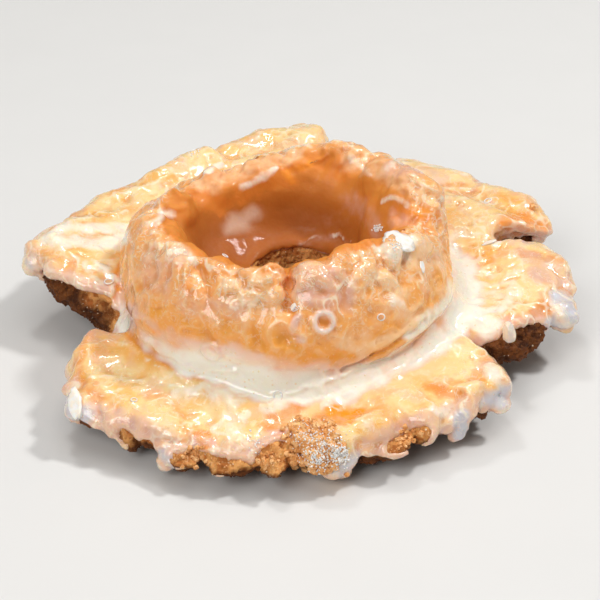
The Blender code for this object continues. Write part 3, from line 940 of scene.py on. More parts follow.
def outwards_at(turn):
    """The level direction at an angle in radians."""
    return Vector((math.cos(turn), math.sin(turn), 0))


def eye_place():
    """Where the photo's camera stands."""
    return PHOTO_AIM - Vector(PHOTO_AHEAD) * PHOTO_DISTANCE


def sight_line(pixel):
    """The direction in which the camera sees a pixel of the photo."""
    scale = PHOTO_SENSOR / PHOTO_LENS / PHOTO_PIXELS
    right = (pixel[0] - PHOTO_PIXELS / 2) * scale
    up = (PHOTO_PIXELS / 2 - pixel[1]) * scale
    sight = Vector(PHOTO_AHEAD) + right * Vector((1, 0, 0)) + up * Vector(PHOTO_UP)
    return sight.normalized()


def tree_of(piece):
    """A search tree over a piece's faces."""
    mesh = piece.data
    corners = [vertex.co for vertex in mesh.vertices]
    return BVHTree.FromPolygons(corners, [face.vertices for face in mesh.polygons])


def seen_at(tree, pixel):
    """(place, normal) of what a pixel of the photo shows, or None where it shows nothing."""
    place, normal, _, _ = tree.ray_cast(eye_place(), sight_line(pixel))
    return None if place is None else (place, normal)


def seen_first(trees, pixel):
    """What a pixel of the photo shows where several pieces may be in the way."""
    found = [seen for seen in (seen_at(tree, pixel) for tree in trees) if seen]
    return min(found, key=lambda seen: (seen[0] - eye_place()).length) if found else None


def path_places(tree, path):
    """Places a short step apart along a path of pixels, on the surface that they show."""
    found = []
    ends = list(path[1:]) or [path[0]]
    for start, end in zip(path, ends):
        length = math.dist(start, end) * PHOTO_DISTANCE
        length *= PHOTO_SENSOR / PHOTO_LENS / PHOTO_PIXELS
        steps = max(1, round(length / PATH_STEP))
        for step in range(steps + 1):
            share = step / steps
            pixel = [a + (b - a) * share for a, b in zip(start, end)]
            seen = seen_at(tree, pixel)
            if seen:
                found.append(seen[0])
    return found


def distance_to(places, marks, limit=PATH_REACH):
    """How far each place is from the nearest of the marks, and no more than the limit."""
    away = np.full(len(places), limit)
    if marks:
        marks = np.array([tuple(mark) for mark in marks])
        low, high = marks.min(axis=0) - limit, marks.max(axis=0) + limit
        close = np.flatnonzero(((places > low) & (places < high)).all(axis=1))
        nearest = np.full(len(close), limit**2)
        for mark in marks:
            nearest = np.minimum(nearest, ((places[close] - mark) ** 2).sum(axis=1))
        away[close] = np.sqrt(nearest)
    return away


def daubed(tree, places, daubs, tint):
    """How strong a tint's daubs are at each place, and how much they raise it."""
    strength = np.zeros(len(places))
    rise = np.zeros(len(places))
    for daub in daubs:
        if daub.tint == tint:
            away = distance_to(places, path_places(tree, daub.path))
            here = 1 - ease(away / daub.width - 0.25)
            strength = np.maximum(strength, here * daub.strength)
            rise += here * daub.rise
    return strength, rise


def rows_of(piece, name):
    """The three numbers that each vertex has under a name, as one row."""
    flat = np.empty(len(piece.data.vertices) * 3)
    piece.data.vertices.foreach_get(name, flat)
    return flat.reshape(-1, 3)


def places_of(piece):
    """Where each vertex is."""
    return rows_of(piece, "co")


def normals_of(piece):
    """Which way each vertex faces."""
    return rows_of(piece, "normal")


def move_to(piece, places):
    """Puts each vertex at its new place."""
    piece.data.vertices.foreach_set("co", places.ravel())
    piece.data.update()


def noise_at(places, size, shift=0.0):
    """Soft noise from about -1 to 1, with lumps of the given size."""
    start = Vector((shift, shift, 0))
    return np.array([noise.noise(Vector(place) / size + start) for place in places])


def knobs_at(places, size, shift, top, slope):
    """Noise folded over at 0: ridged knobs that reach the top, falling away by the slope."""
    return top - slope * np.abs(noise_at(places, size, shift))


def smoothed(piece, turns):
    """Where each vertex would be after the mesh is evened out so many times."""
    ends = np.empty(len(piece.data.edges) * 2, int)
    piece.data.edges.foreach_get("vertices", ends)
    first, second = ends[::2], ends[1::2]
    places = places_of(piece)
    count = len(places)
    shares = np.bincount(first, minlength=count) + np.bincount(second, minlength=count)
    smooth = places.copy()
    for _ in range(turns):
        total = np.empty_like(smooth)
        for axis in range(3):
            total[:, axis] = np.bincount(first, smooth[second, axis], count)
            total[:, axis] += np.bincount(second, smooth[first, axis], count)
        smooth = (smooth + total / shares[:, None]) / 2
    return smooth


def hollow_at(piece, turns):
    """How deep each vertex lies in a hollow, and below 0 how far it stands out."""
    return ((smoothed(piece, turns) - places_of(piece)) * normals_of(piece)).sum(axis=1)


def wandering(places):
    """The places moved a little by soft noise, so that strokes across them waver."""
    swing = [noise_at(places, WANDER_SIZE, shift) for shift in (11.0, 17.0, 23.0)]
    return places + WANDER * np.stack(swing, axis=1)


def write_values(piece, name, values):
    """Stores a value for each vertex, which the piece's material reads by name."""
    attribute = piece.data.attributes.new(name, "FLOAT", "POINT")
    attribute.data.foreach_set("value", np.asarray(values, dtype=np.float32))


def new_object(name, data):
    """A new object in the scene."""
    made = bpy.data.objects.new(name, data)
    bpy.context.scene.collection.objects.link(made)
    return made


def work_on(piece):
    """Makes a piece the one that operators act on."""
    if bpy.context.object and bpy.context.object.mode != "OBJECT":
        bpy.ops.object.mode_set(mode="OBJECT")
    bpy.ops.object.select_all(action="DESELECT")
    piece.select_set(True)
    bpy.context.view_layer.objects.active = piece


def apply_modifier(piece, kind, **settings):
    """Adds a modifier with these settings to a piece and applies it."""
    work_on(piece)
    modifier = piece.modifiers.new(kind.title(), kind)
    for name, value in settings.items():
        setattr(modifier, name, value)
    bpy.ops.object.modifier_apply(modifier=modifier.name)


def fine_copy(name, grid):
    """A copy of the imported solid, its corners merged, rounded and cut into a fine even grid."""
    piece = new_object(name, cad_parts[NODE].data.copy())
    work_on(piece)
    bpy.ops.object.mode_set(mode="EDIT")
    bpy.ops.mesh.select_all(action="SELECT")
    bpy.ops.mesh.remove_doubles(threshold=MERGE_DISTANCE)
    bpy.ops.object.mode_set(mode="OBJECT")
    attributes = piece.data.attributes
    for name in [one.name for one in attributes if not one.is_required and not one.is_internal]:
        attributes.remove(attributes[name])
    piece.data.materials.clear()
    apply_modifier(piece, "REMESH", mode="VOXEL", voxel_size=grid)
    soften(piece, SOFTEN_TURNS)
    shape_crest(piece)
    shift_dough(piece)
    return piece


def soften(piece, turns):
    """Rounds edges finer than a millimetre or so without shrinking the forms that carry them."""
    for _ in range(turns):
        apply_modifier(piece, "SMOOTH", factor=0.60, iterations=1)
        apply_modifier(piece, "SMOOTH", factor=-0.63, iterations=1)


def crest_distance(places, inset=0.0):
    """How far each place is from the crest's line, or from a line that much further in."""
    return np.hypot(crown_distance(places) - CREST_RADIUS + inset, places[:, 2] - CREST_HEIGHT)


def shape_crest(piece):
    """Rolls the crest over behind and at the left, sharpens its front knobs, and adds crags."""
    places = places_of(piece)
    outwards = places[:, :2] - np.array(CROWN_AXIS)[:2]
    facing = (outwards @ np.array(ROLLED_SIDE)) / np.linalg.norm(outwards, axis=1)
    near = 1 - ease(crest_distance(places) / CREST_REACH - 0.3)
    rolled = ease(facing * 1.6 + 0.4)
    share = (ROLLED * rolled - SHARPENED * (1 - rolled)) * near
    shaped = places + (smoothed(piece, ROLL_TURNS) - places) * share[:, None]
    crags = CRAG_DEPTH * knobs_at(places, CRAG_SIZE, 2.0, 0.8, 2.4)
    crags += 0.5 * CRAG_DEPTH * knobs_at(places, CRAG_SIZE * 0.5, 6.0, 0.8, 2.4)
    crags *= 1 - ease(crest_distance(places, CRAG_INSET) / CRAG_REACH)
    move_to(piece, shaped + normals_of(piece) * crags[:, None])


def shift_dough(piece):
    """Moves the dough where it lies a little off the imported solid."""
    places = places_of(piece)
    tree = tree_of(piece)
    moved = places.copy()
    above, ahead = np.array(PHOTO_UP), np.array(PHOTO_AHEAD)
    for shift in SHIFTS:
        away = distance_to(places, path_places(tree, shift.path), shift.width)
        share = 1 - ease(away / shift.width)
        whole = np.array((shift.right, 0, 0)) + shift.up * above + shift.away * ahead
        moved += share[:, None] * whole
    moved[:, 2] = np.maximum(moved[:, 2], 0)
    move_to(piece, moved)


def thin_where(piece, hidden, kept):
    """Merges faces where a piece is hidden, down to the given share of them."""
    group = piece.vertex_groups.new(name="hidden")
    group.add([int(index) for index in np.flatnonzero(hidden)], 1.0, "REPLACE")
    ratio = 1 - hidden.mean() * (1 - kept)
    apply_modifier(piece, "DECIMATE", ratio=ratio, vertex_group="hidden", vertex_group_factor=1.0)
    piece.vertex_groups.clear()


def finish_piece(piece, material, smooth=True):
    """Gives a finished piece its material and puts it with the doughnut."""
    piece.data.materials.clear()
    piece.data.materials.append(material)
    if smooth:
        piece.data.shade_smooth()
    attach(piece, "root")


def crown_distance(places):
    """How far each place is from the crown's axis."""
    return np.hypot(places[:, 0] - CROWN_AXIS.x, places[:, 1] - CROWN_AXIS.y)


def neck_distance(places):
    """How far each place is from the middle of the hole's neck."""
    return np.hypot(places[:, 0] - NECK_CENTRE.x, places[:, 1] - NECK_CENTRE.y)


def on_crown(places):
    """1 on the crown and inside it, and 0 on the petals and below the neck."""
    height = places[:, 2]
    within = CROWN_RADIUS + CROWN_MARGIN - crown_distance(places)
    outside = ease((height - CROWN_FOOT_HEIGHT) / CROWN_FADE) * ease(within / CROWN_FADE)
    in_hole = ease((NECK_RADIUS + NECK_MARGIN - neck_distance(places)) / MILLIMETRE)
    return outside * (1 - ease((NECK_HEIGHT - height) / NECK_FADE) * in_hole)


def sheltered(tree, places, normals):
    """Whether something above keeps poured glaze off each place."""
    up = Vector((0, 0, 1))
    lift = 0.0003
    steep = (normals[:, 2] < STEEPEST) & (on_crown(places) < 0.5)
    return steep | np.array([
        tree.ray_cast(Vector(place) + Vector(normal) * lift, up)[0] is not None
        for place, normal in zip(places, normals)
    ])


def distance_between(places, asked, marked):
    """How far each place that is asked about is from the nearest marked one."""
    found = np.flatnonzero(marked)
    search = KDTree(len(found))
    for index in found:
        search.insert(places[index], int(index))
    search.balance()
    away = np.zeros(len(places))
    for index in np.flatnonzero(asked):
        away[index] = search.find(places[index])[2]
    return away


def glaze_margin(tree, places, normals, creep):
    """How far inside the glaze's edge each place is, and below 0 how far outside."""
    covered = sheltered(tree, places, normals)
    away = distance_between(places, covered, ~covered)
    lobes = noise_at(places, WIDE_LOBE, 4.0) + 0.5 * noise_at(places, NARROW_LOBE, 9.0)
    margin = np.maximum(creep * (1 + 1.3 * lobes), LEAST_CREEP) - away
    crown = on_crown(places)
    margin = np.maximum(margin, crown * EDGE_SPAN - (1 - crown) * FAR_OUTSIDE)
    height = places[:, 2]
    below_neck = neck_distance(places) < NECK_RADIUS + NECK_MARGIN
    below_neck &= height < NECK_HEIGHT - NECK_FADE
    above_end = height - NECK_HEIGHT + NECK_END
    margin = np.where(below_neck, np.minimum(margin, above_end), margin)
    cover, _ = daubed(tree, places, PETAL_DAUBS, "cover")
    margin = np.maximum(margin, (cover - 0.5) * EDGE_SPAN)
    bare, _ = daubed(tree, places, CRUST_DAUBS, "bare")
    ragged = 0.25 * noise_at(places, RAGGED_SIZE, 2.0)
    glazed = (0.5 - bare + ragged) * EDGE_SPAN + (1 - np.sign(bare)) * FAR_INSIDE
    margin = np.minimum(margin, glazed)
    for drop in DROPS:
        on_drop = distance_to(places, drop_line(drop)) < drop.half_width * DROP_WIDENED
        margin = np.where(on_drop, np.maximum(margin, DROP_MARGIN), margin)
    return margin


def large_bubbles(tree, places):
    """Each large bubble, and how far from its middle each place is."""
    for bubble in BUBBLES:
        if bubble.radius > SMALL_BUBBLE:
            middle = seen_at(tree, bubble.place)[0]
            yield bubble, distance_to(places, [middle], BUBBLE_REACH)


def bubble_rise(tree, places):
    """The rings and blisters of the large bubbles."""
    rise = np.zeros(len(places))
    for bubble, away in large_bubbles(tree, places):
        height = -MIDDLE_HEIGHT if bubble.burst else MIDDLE_HEIGHT
        middle = 1 - ease(away / bubble.radius)
        rise += RING_HEIGHT * bell(away - bubble.radius, RING_WIDTH) + height * middle
    return rise


def bubble_paleness(tree, places):
    """0 to 1: the pale rings of the large bubbles."""
    rings = np.zeros(len(places))
    for bubble, away in large_bubbles(tree, places):
        ring = bell(away - bubble.radius, RING_PALE_WIDTH)
        rings = np.maximum(rings, ring * (1.0 if bubble.burst else 0.35))
    return rings


def ridges_at(places):
    """0 to 1: thin winding ridges, in patches, as a sugar film dries in."""
    found = [
        bell(noise_at(places, size, seed), width)
        * ease(noise_at(places, patch_size, patch_seed) * 2.2 + 0.40)
        * share
        for size, seed, width, patch_size, patch_seed, share in RIDGES
    ]
    return np.maximum(*found)


def drop_foot(drop):
    """The point on the floor below a drop."""
    return CROWN_AXIS + outwards_at(math.radians(drop.angle)) * drop.reach


def drop_line(drop):
    """A few points down the middle of a drop."""
    foot = drop_foot(drop)
    steps = 6
    return [
        foot + Vector((0, 0, drop.tip + (drop.top - drop.tip) * step / steps))
        for step in range(steps + 1)
    ]


def pool_share(places):
    """1 in the gutter round the crown's foot, where the glaze collects, fading out to 0."""
    away = np.hypot(crown_distance(places) - POOL_RADIUS, places[:, 2] - POOL_HEIGHT)
    return 1 - ease(away / POOL_REACH - 0.25)


def pool_form(turns):
    """How high the pool climbs and how far out it ends, in directions given in degrees."""
    angles, tops, reaches = zip(*POOL_FORM)
    return [np.interp(turns, angles, values, period=360) for values in (tops, reaches)]


def pool_depth(places):
    """0 to 1: how deep in the pool round the crown's foot each place is."""
    turns = np.arctan2(places[:, 1] - CROWN_AXIS.y, places[:, 0] - CROWN_AXIS.x)
    top, reach = pool_form(np.degrees(turns))
    radius, height = crown_distance(places), places[:, 2]
    below_top = top + POOL_ABOVE - height + POOL_WAVE * noise_at(places, POOL_TOP_WAVES, 14.0)
    within = reach + POOL_BEYOND - radius + POOL_WAVE * noise_at(places, POOL_EDGE_WAVES, 15.0)
    depth = np.clip(below_top / POOL_DEEP, 0, 1) * ease(within / POOL_FADE)
    inner = ease((radius - POOL_INNER) / MILLIMETRE)
    return depth * inner * ease((height - POOL_BOTTOM) / MILLIMETRE)


def pool_line(tree):
    """(wall distance, wall height, edge distance, edge height) of the pool in each direction."""
    turns = np.arange(POOL_STEPS) * 360 / POOL_STEPS
    rows = []
    for turn, height, far in zip(np.radians(turns), *pool_form(turns)):
        outwards = outwards_at(turn)
        start = CROWN_AXIS + outwards * (CROWN_RADIUS + POOL_WALL_START) + Vector((0, 0, height))
        wall = tree.ray_cast(start, -outwards)[0]
        wall_distance = (wall - CROWN_AXIS).xy.length if wall else CROWN_RADIUS
        edge_height = POOL_HEIGHT - MILLIMETRE
        for step in range(POOL_EDGE_STEPS):
            edge = far - step * POOL_EDGE_STEP
            above = CROWN_AXIS + outwards * edge + Vector((0, 0, ABOVE_ALL))
            hit = tree.ray_cast(above, Vector((0, 0, -1)))[0]
            if hit and hit.z > POOL_LOWEST:
                edge_height = hit.z
                break
        rows.append((wall_distance, height, edge, edge_height))
    rows = np.array(rows)
    for _ in range(POOL_EVEN_TURNS):
        rows = (np.roll(rows, 1, axis=0) + 2 * rows + np.roll(rows, -1, axis=0)) / 4
    return rows


def pool_section(wall, top, edge, foot):
    """The pool's outline in one direction as (distance, height): hollow face first, then back."""
    ends = ((edge, foot - 0.0001), (wall + 0.0008, foot + 0.0014), (wall - 0.0001, top))
    section = []
    for step in range(POOL_FACE):
        share = step / (POOL_FACE - 1)
        parts = ((1 - share) ** 2, 2 * share * (1 - share), share**2)
        section.append([
            sum(part * end[axis] for part, end in zip(parts, ends)) for axis in (0, 1)
        ])
    return section + [
        (wall - 0.0014, top - 0.0004),
        (wall - 0.0028, top - 0.0030),
        (wall - 0.0032, foot + 0.0004),
        (wall - 0.0022, foot - 0.0014),
        ((wall + edge) / 2, foot - 0.0016),
        (edge - 0.0007, foot - 0.0010),
    ]


def add_pool(tree):
    """The ring of glaze round the crown's foot: its face is hollow from the wall to the petals."""
    bpy.ops.object.select_all(action="DESELECT")
    bpy.ops.mesh.primitive_torus_add(major_segments=POOL_STEPS, minor_segments=POOL_SIDES)
    ring = bpy.context.object
    bpy.ops.object.transform_apply(location=True, rotation=True, scale=True)
    places = []
    for index, row in enumerate(pool_line(tree)):
        turn = math.tau * index / POOL_STEPS
        for distance, height in pool_section(*row):
            outwards = outwards_at(turn) * distance
            places.append(tuple(CROWN_AXIS + outwards + Vector((0, 0, height))))
    move_to(ring, np.array(places))
    return ring


def glaze_depth(tree, piece, settings):
    """The thickness of glaze over each vertex. Below 0 it lies under the crust."""
    places = places_of(piece)
    height = places[:, 2]
    margin = glaze_margin(tree, places, normals_of(piece), settings.creep)
    thin = 1 - THINNED * (1 - ease(crest_distance(places) / THINNED_REACH))
    off_lip = (neck_distance(places) - NECK_RADIUS) ** 2 + (height - NECK_HEIGHT) ** 2
    lip = np.exp(-(off_lip / LIP_WIDTH**2))
    bead = bell(margin - BEAD_INSET, BEAD_WIDTH)
    depth = settings.thickness + LIP_THICKNESS * lip + BEAD_THICKNESS * bead
    depth *= thin
    depth += np.clip(hollow_at(piece, FILL_TURNS), LEAST_FILL, MOST_FILL) * 0.6 * thin**2
    crown = on_crown(places)
    outside = crown * ease((crown_distance(places) - CREST_RADIUS) / KNOB_FADE_OUT)
    outside = outside * ease((height - KNOB_FOOT) / KNOB_FADE_UP)
    swelling = (0.30 - 0.12 * crown) * noise_at(places, WIDE_SWELLING, 1.0)
    swelling = swelling + 0.20 * noise_at(places, NARROW_SWELLING, 12.0)
    swelling = swelling * thin + outside * knobs_at(places, KNOB_SIZE, 18.0, 0.45, 1.1)
    depth += swelling * SWELLING * (1 - pool_share(places))
    least = LEAST_THICKNESS + CROWN_THICKNESS * crown
    covered = np.maximum(depth, least) * ease(margin / END_FADE)
    return covered - SUNK * (1 - ease(margin / SUNK_FADE + 0.8))


def etch(piece, surface):
    """Draws fine relief on the poured glaze: ridges, folds, bubbles, thick daubs, the fissure."""
    places = places_of(piece)
    within_crest = CREST_RADIUS - MILLIMETRE - crown_distance(places)
    in_crater = ease(within_crest / (2 * MILLIMETRE))
    calm = np.maximum(pool_share(places), in_crater)
    rise = bpy.context.scene.doughnut_glaze.ripple * ridges_at(places) * (1 - calm)
    waving = wandering(places)
    for daubs in (POOL_DAUBS, PETAL_DAUBS, CROWN_DAUBS):
        for tint in ("milk", "blush", "toast", "frost", "cover"):
            rise += daubed(surface, waving, daubs, tint)[1]
    for fold in FOLDS:
        away = distance_to(waving, path_places(surface, fold.path))
        rise += fold.rise * bell(away, fold.width)
    rise += bubble_rise(surface, places)
    crack = distance_to((places + waving) / 2, path_places(surface, FISSURE))
    ragged = 1 + 0.5 * noise_at(places, RAGGED_SIZE, 3.0)
    rise += FISSURE_LIP_HEIGHT * bell(crack - FISSURE_LIP, FISSURE_LIP_WIDTH)
    rise -= FISSURE_DEPTH * ragged * bell(crack, FISSURE_WIDTH)
    move_to(piece, places + normals_of(piece) * rise[:, None])


def add_drop(drop):
    """A drop of glaze: a ball drawn out upwards to a neck that reaches into the rim."""
    foot = drop_foot(drop)
    middle = drop.tip + drop.half_width
    bpy.ops.object.select_all(action="DESELECT")
    bpy.ops.mesh.primitive_uv_sphere_add(
        segments=24, ring_count=16, radius=drop.half_width, location=(foot.x, foot.y, middle)
    )
    piece = bpy.context.object
    bpy.ops.object.transform_apply(location=True, rotation=True, scale=True)
    for vertex in piece.data.vertices:
        above = vertex.co.z - middle
        if above > 0:
            share = above / drop.half_width
            vertex.co.z = middle + share * (drop.top - middle)
            inwards = (CROWN_AXIS - foot).normalized() * drop.half_width * 0.5 * share
            vertex.co.x += inwards.x
            vertex.co.y += inwards.y
    return piece


def height_over(tree, piece):
    """How high each vertex is over the dough, and below 0 how deep inside it."""
    heights = []
    for place in places_of(piece):
        near, normal, _, _ = tree.find_nearest(Vector(place))
        heights.append((Vector(place) - near).dot(normal))
    return np.array(heights)


def merged(piece, others):
    """The piece with the others joined into it."""
    bpy.ops.object.select_all(action="DESELECT")
    for other in others:
        other.select_set(True)
    piece.select_set(True)
    bpy.context.view_layer.objects.active = piece
    bpy.ops.object.join()
    return piece


def add_node(tree, kind, sockets=None, **settings):
    """A shader node with its settings, and a value or a link for each socket that is named."""
    made = tree.nodes.new(kind)
    for name, value in settings.items():
        setattr(made, name, value)
    for name, value in (sockets or {}).items():
        if isinstance(value, bpy.types.NodeSocket):
            tree.links.new(value, made.inputs[name])
        else:
            made.inputs[name].default_value = value
    return made


def calculate(tree, operation, first, second=0.0, clamped=False):
    """The result of a calculation with one or two numbers."""
    return add_node(
        tree, "ShaderNodeMath", {0: first, 1: second}, operation=operation, use_clamp=clamped
    ).outputs[0]


def times(tree, first, second):
    """One mask or number times another."""
    return calculate(tree, "MULTIPLY", first, second)


def stepped(tree, value, low, high):
    """0 where the value is below low, 1 above high, and an even S between."""
    return add_node(
        tree,
        "ShaderNodeMapRange",
        {"Value": value, "From Min": low, "From Max": high},
        interpolation_type="SMOOTHSTEP",
    ).outputs["Result"]


def graded(tree, value, low, high, start, end):
    """A number that goes evenly from start to end while the value goes from low to high."""
    sockets = {"Value": value, "From Min": low, "From Max": high, "To Min": start, "To Max": end}
    return add_node(tree, "ShaderNodeMapRange", sockets).outputs["Result"]


def blended(tree, share, low, high):
    """A colour between two others."""
    sockets = {0: share, 6: low, 7: high}
    return add_node(tree, "ShaderNodeMix", sockets, data_type="RGBA").outputs[2]


def laid_over(tree, colour, share, most, over):
    """A colour with another laid over it, by a mask and no more than so much."""
    return blended(tree, times(tree, share, most), colour, over)


def value_of(tree, name):
    """The value that a piece stores under a name."""
    made = add_node(tree, "ShaderNodeAttribute", attribute_name=name, attribute_type="GEOMETRY")
    return made.outputs["Fac"]


def place_in(tree):
    """Where on the doughnut a point of the surface is."""
    return add_node(tree, "ShaderNodeTexCoord").outputs["Object"]


def noise_in(tree, where, scale, detail=2.0, distortion=0.0):
    """Soft noise about one half, with so many lumps to a metre."""
    sockets = {"Vector": where, "Scale": scale, "Detail": detail, "Distortion": distortion}
    return add_node(tree, "ShaderNodeTexNoise", sockets).outputs["Fac"]


def set_constants(surface, constants):
    """Sets the shader's own sockets to what is the same all over the piece."""
    for name, value in constants.items():
        surface.inputs[name].default_value = value


def add_bump(tree, surface, height, strength, distance):
    """Gives the shader a fine relief from a height."""
    sockets = {"Height": height, "Strength": strength, "Distance": distance}
    bump = add_node(tree, "ShaderNodeBump", sockets)
    tree.links.new(bump.outputs["Normal"], surface.inputs["Normal"])


def opaque(colour):
    """A colour of the panel with its alpha."""
    return (*colour, 1)


def new_group(name, inputs, outputs):
    """An empty node group with number sockets, or the one there is, and whether it is new."""
    if name in bpy.data.node_groups:
        return bpy.data.node_groups[name], False
    group = bpy.data.node_groups.new(name, "ShaderNodeTree")
    for socket, value in inputs.items():
        made = group.interface.new_socket(socket, in_out="INPUT", socket_type="NodeSocketFloat")
        made.default_value = value
    for socket in outputs:
        group.interface.new_socket(socket, in_out="OUTPUT", socket_type="NodeSocketFloat")
    return group, True


def mottle_group():
    """Breaks up a smooth mask with noise, so that its edge wanders: Mask, Scale, Ragged in."""
    group, fresh = new_group("Mottle", {"Mask": 0.5, "Scale": 500.0, "Ragged": 0.5}, ["Mask"])
    if fresh:
        start = group.nodes.new("NodeGroupInput").outputs
        spots = noise_in(group, place_in(group), start["Scale"], 3.0)
        swing = times(group, calculate(group, "SUBTRACT", spots, 0.5), start["Ragged"])
        moved = calculate(group, "ADD", start["Mask"], times(group, swing, 2.6))
        share = stepped(group, moved, 0.05, 1.0)
        share = times(group, share, stepped(group, start["Mask"], 0.0, 0.35))
        add_node(group, "NodeGroupOutput", {"Mask": share})
    return group


def film_group():
    """Thin wandering lines, as the folds of a drying sugar film: Scale and Width in, Mask out."""
    group, fresh = new_group("Film_lines", {"Scale": 300.0, "Width": 0.02}, ["Mask"])
    if fresh:
        start = group.nodes.new("NodeGroupInput").outputs
        where = place_in(group)
        field = noise_in(group, where, start["Scale"], 1.5, 0.9)
        away = calculate(group, "ABSOLUTE", calculate(group, "SUBTRACT", field, 0.5))
        off_line = calculate(group, "DIVIDE", away, start["Width"])
        line = calculate(group, "SUBTRACT", 1.0, off_line, clamped=True)
        patches = noise_in(group, where, times(group, start["Scale"], 0.43))
        mask = times(group, line, stepped(group, patches, 0.40, 0.54))
        add_node(group, "NodeGroupOutput", {"Mask": mask})
    return group


def speck_group():
    """Small round specks: Scale, Size and Share in, Mask out."""
    group, fresh = new_group("Specks", {"Scale": 900.0, "Size": 0.25, "Share": 0.4}, ["Mask"])
    if fresh:
        start = group.nodes.new("NodeGroupInput").outputs
        sockets = {"Vector": place_in(group), "Scale": start["Scale"]}
        cells = add_node(group, "ShaderNodeTexVoronoi", sockets).outputs
        near = calculate(group, "DIVIDE", cells["Distance"], start["Size"])
        spot = stepped(group, near, 1.0, 0.4)
        pick = add_node(group, "ShaderNodeSeparateColor", {"Color": cells["Color"]}).outputs[0]
        chosen = calculate(group, "LESS_THAN", pick, start["Share"])
        add_node(group, "NodeGroupOutput", {"Mask": times(group, spot, chosen)})
    return group


def use_group(tree, group, sockets):
    """The mask that a node group puts out in a material, from its own values."""
    return add_node(tree, "ShaderNodeGroup", sockets, node_tree=group).outputs["Mask"]


def mottled(tree, name, scale, ragged):
    """A value that the piece stores, as a mask whose edge wanders."""
    sockets = {"Mask": value_of(tree, name), "Scale": scale, "Ragged": ragged}
    return use_group(tree, mottle_group(), sockets)


def new_material(name):
    """A material, its nodes and its shader."""
    material = bpy.data.materials.new(name)
    material.use_nodes = True
    return material, material.node_tree, material.node_tree.nodes["Principled BSDF"]


def crust_material(settings):
    """Fried crust: golden where it looks up, red brown below, partly as painted shade, with dark
    pits and pale sugar.
    """
    material, tree, surface = new_material("fried_crust")
    where = place_in(tree)
    blotch = noise_in(tree, where, 420.0, 4.0)
    fine = noise_in(tree, where, 2200.0, 3.0)
    pores = add_node(tree, "ShaderNodeTexVoronoi", {"Vector": where, "Scale": 1050.0})
    pores = pores.outputs["Distance"]
    # Darker where the crust faces down or lies away from the front: partly browner crust, partly
    # painted shade.
    below = value_of(tree, "below")
    colour = blended(tree, below, opaque(settings.golden), opaque(settings.brown))
    dark = blended(tree, below, DARK_ABOVE, DARK_BELOW)
    colour = blended(tree, stepped(tree, blotch, 0.40, 0.66), colour, dark)
    colour = blended(tree, stepped(tree, value_of(tree, "pit"), 0.25, 0.9), colour, dark)
    colour = laid_over(tree, colour, stepped(tree, pores, 0.34, 0.12), 0.75, dark)
    pale = blended(tree, below, PALE_ABOVE, PALE_BELOW)
    colour = laid_over(tree, colour, stepped(tree, fine, 0.56, 0.72), 0.7, pale)
    sparkle = use_group(tree, speck_group(), {"Scale": 1500.0, "Size": 0.32, "Share": 0.10})
    colour = laid_over(tree, colour, sparkle, 0.8, SUGARED)
    tree.links.new(colour, surface.inputs["Base Color"])
    rough = graded(tree, fine, 0.3, 0.7, 0.38, 0.75)
    tree.links.new(rough, surface.inputs["Roughness"])
    height = calculate(tree, "ADD", fine, times(tree, blotch, 0.6))
    height = calculate(tree, "ADD", height, times(tree, pores, 1.4))
    add_bump(tree, surface, height, 0.9, 0.0003)
    set_constants(surface, {
        "Specular IOR Level": 0.15,
        "Subsurface Weight": 0.12,
        "Subsurface Radius": (1.0, 0.35, 0.12),
        "Subsurface Scale": 0.0008,
    })
    return material


def thin_glaze(tree, settings, where, cloud, grain):
    """The colour of thin glaze over the petals, on the crown and in the crater."""
    height_above = add_node(tree, "ShaderNodeSeparateXYZ", {"Vector": where}).outputs["Z"]
    broad = stepped(tree, noise_in(tree, where, 130.0, 3.0), 0.45, 0.68)
    patchy = stepped(tree, noise_in(tree, where, 210.0, 4.0), 0.50, 0.62)
    petal = blended(tree, broad, opaque(settings.petal), opaque(settings.gold))
    petal = laid_over(tree, petal, stepped(tree, cloud, 0.52, 0.70), 0.6, CREAM)
    petal = laid_over(tree, petal, patchy, 0.55, PEACH)
    high = stepped(tree, height_above, *CROWN_GRADE)
    amber = blended(tree, high, opaque(settings.honey), opaque(settings.crown))
    peach = times(tree, stepped(tree, cloud, 0.48, 0.72), 0.5)
    amber = laid_over(tree, amber, peach, high, PEACH)
    amber = laid_over(tree, amber, stepped(tree, grain, 0.5, 0.75), 0.5, PALE_AMBER)
    colour = blended(tree, value_of(tree, "crown"), petal, amber)
    # Inside the crater the glaze is a darker amber, partly its own colour and partly painted shade,
    # and darker still lower down, as painted shade.
    above_neck = stepped(tree, height_above, *CRATER_GRADE)
    deep = blended(tree, above_neck, SHADED_DEEP_AMBER, opaque(settings.crater))
    return blended(tree, value_of(tree, "crater"), colour, deep)


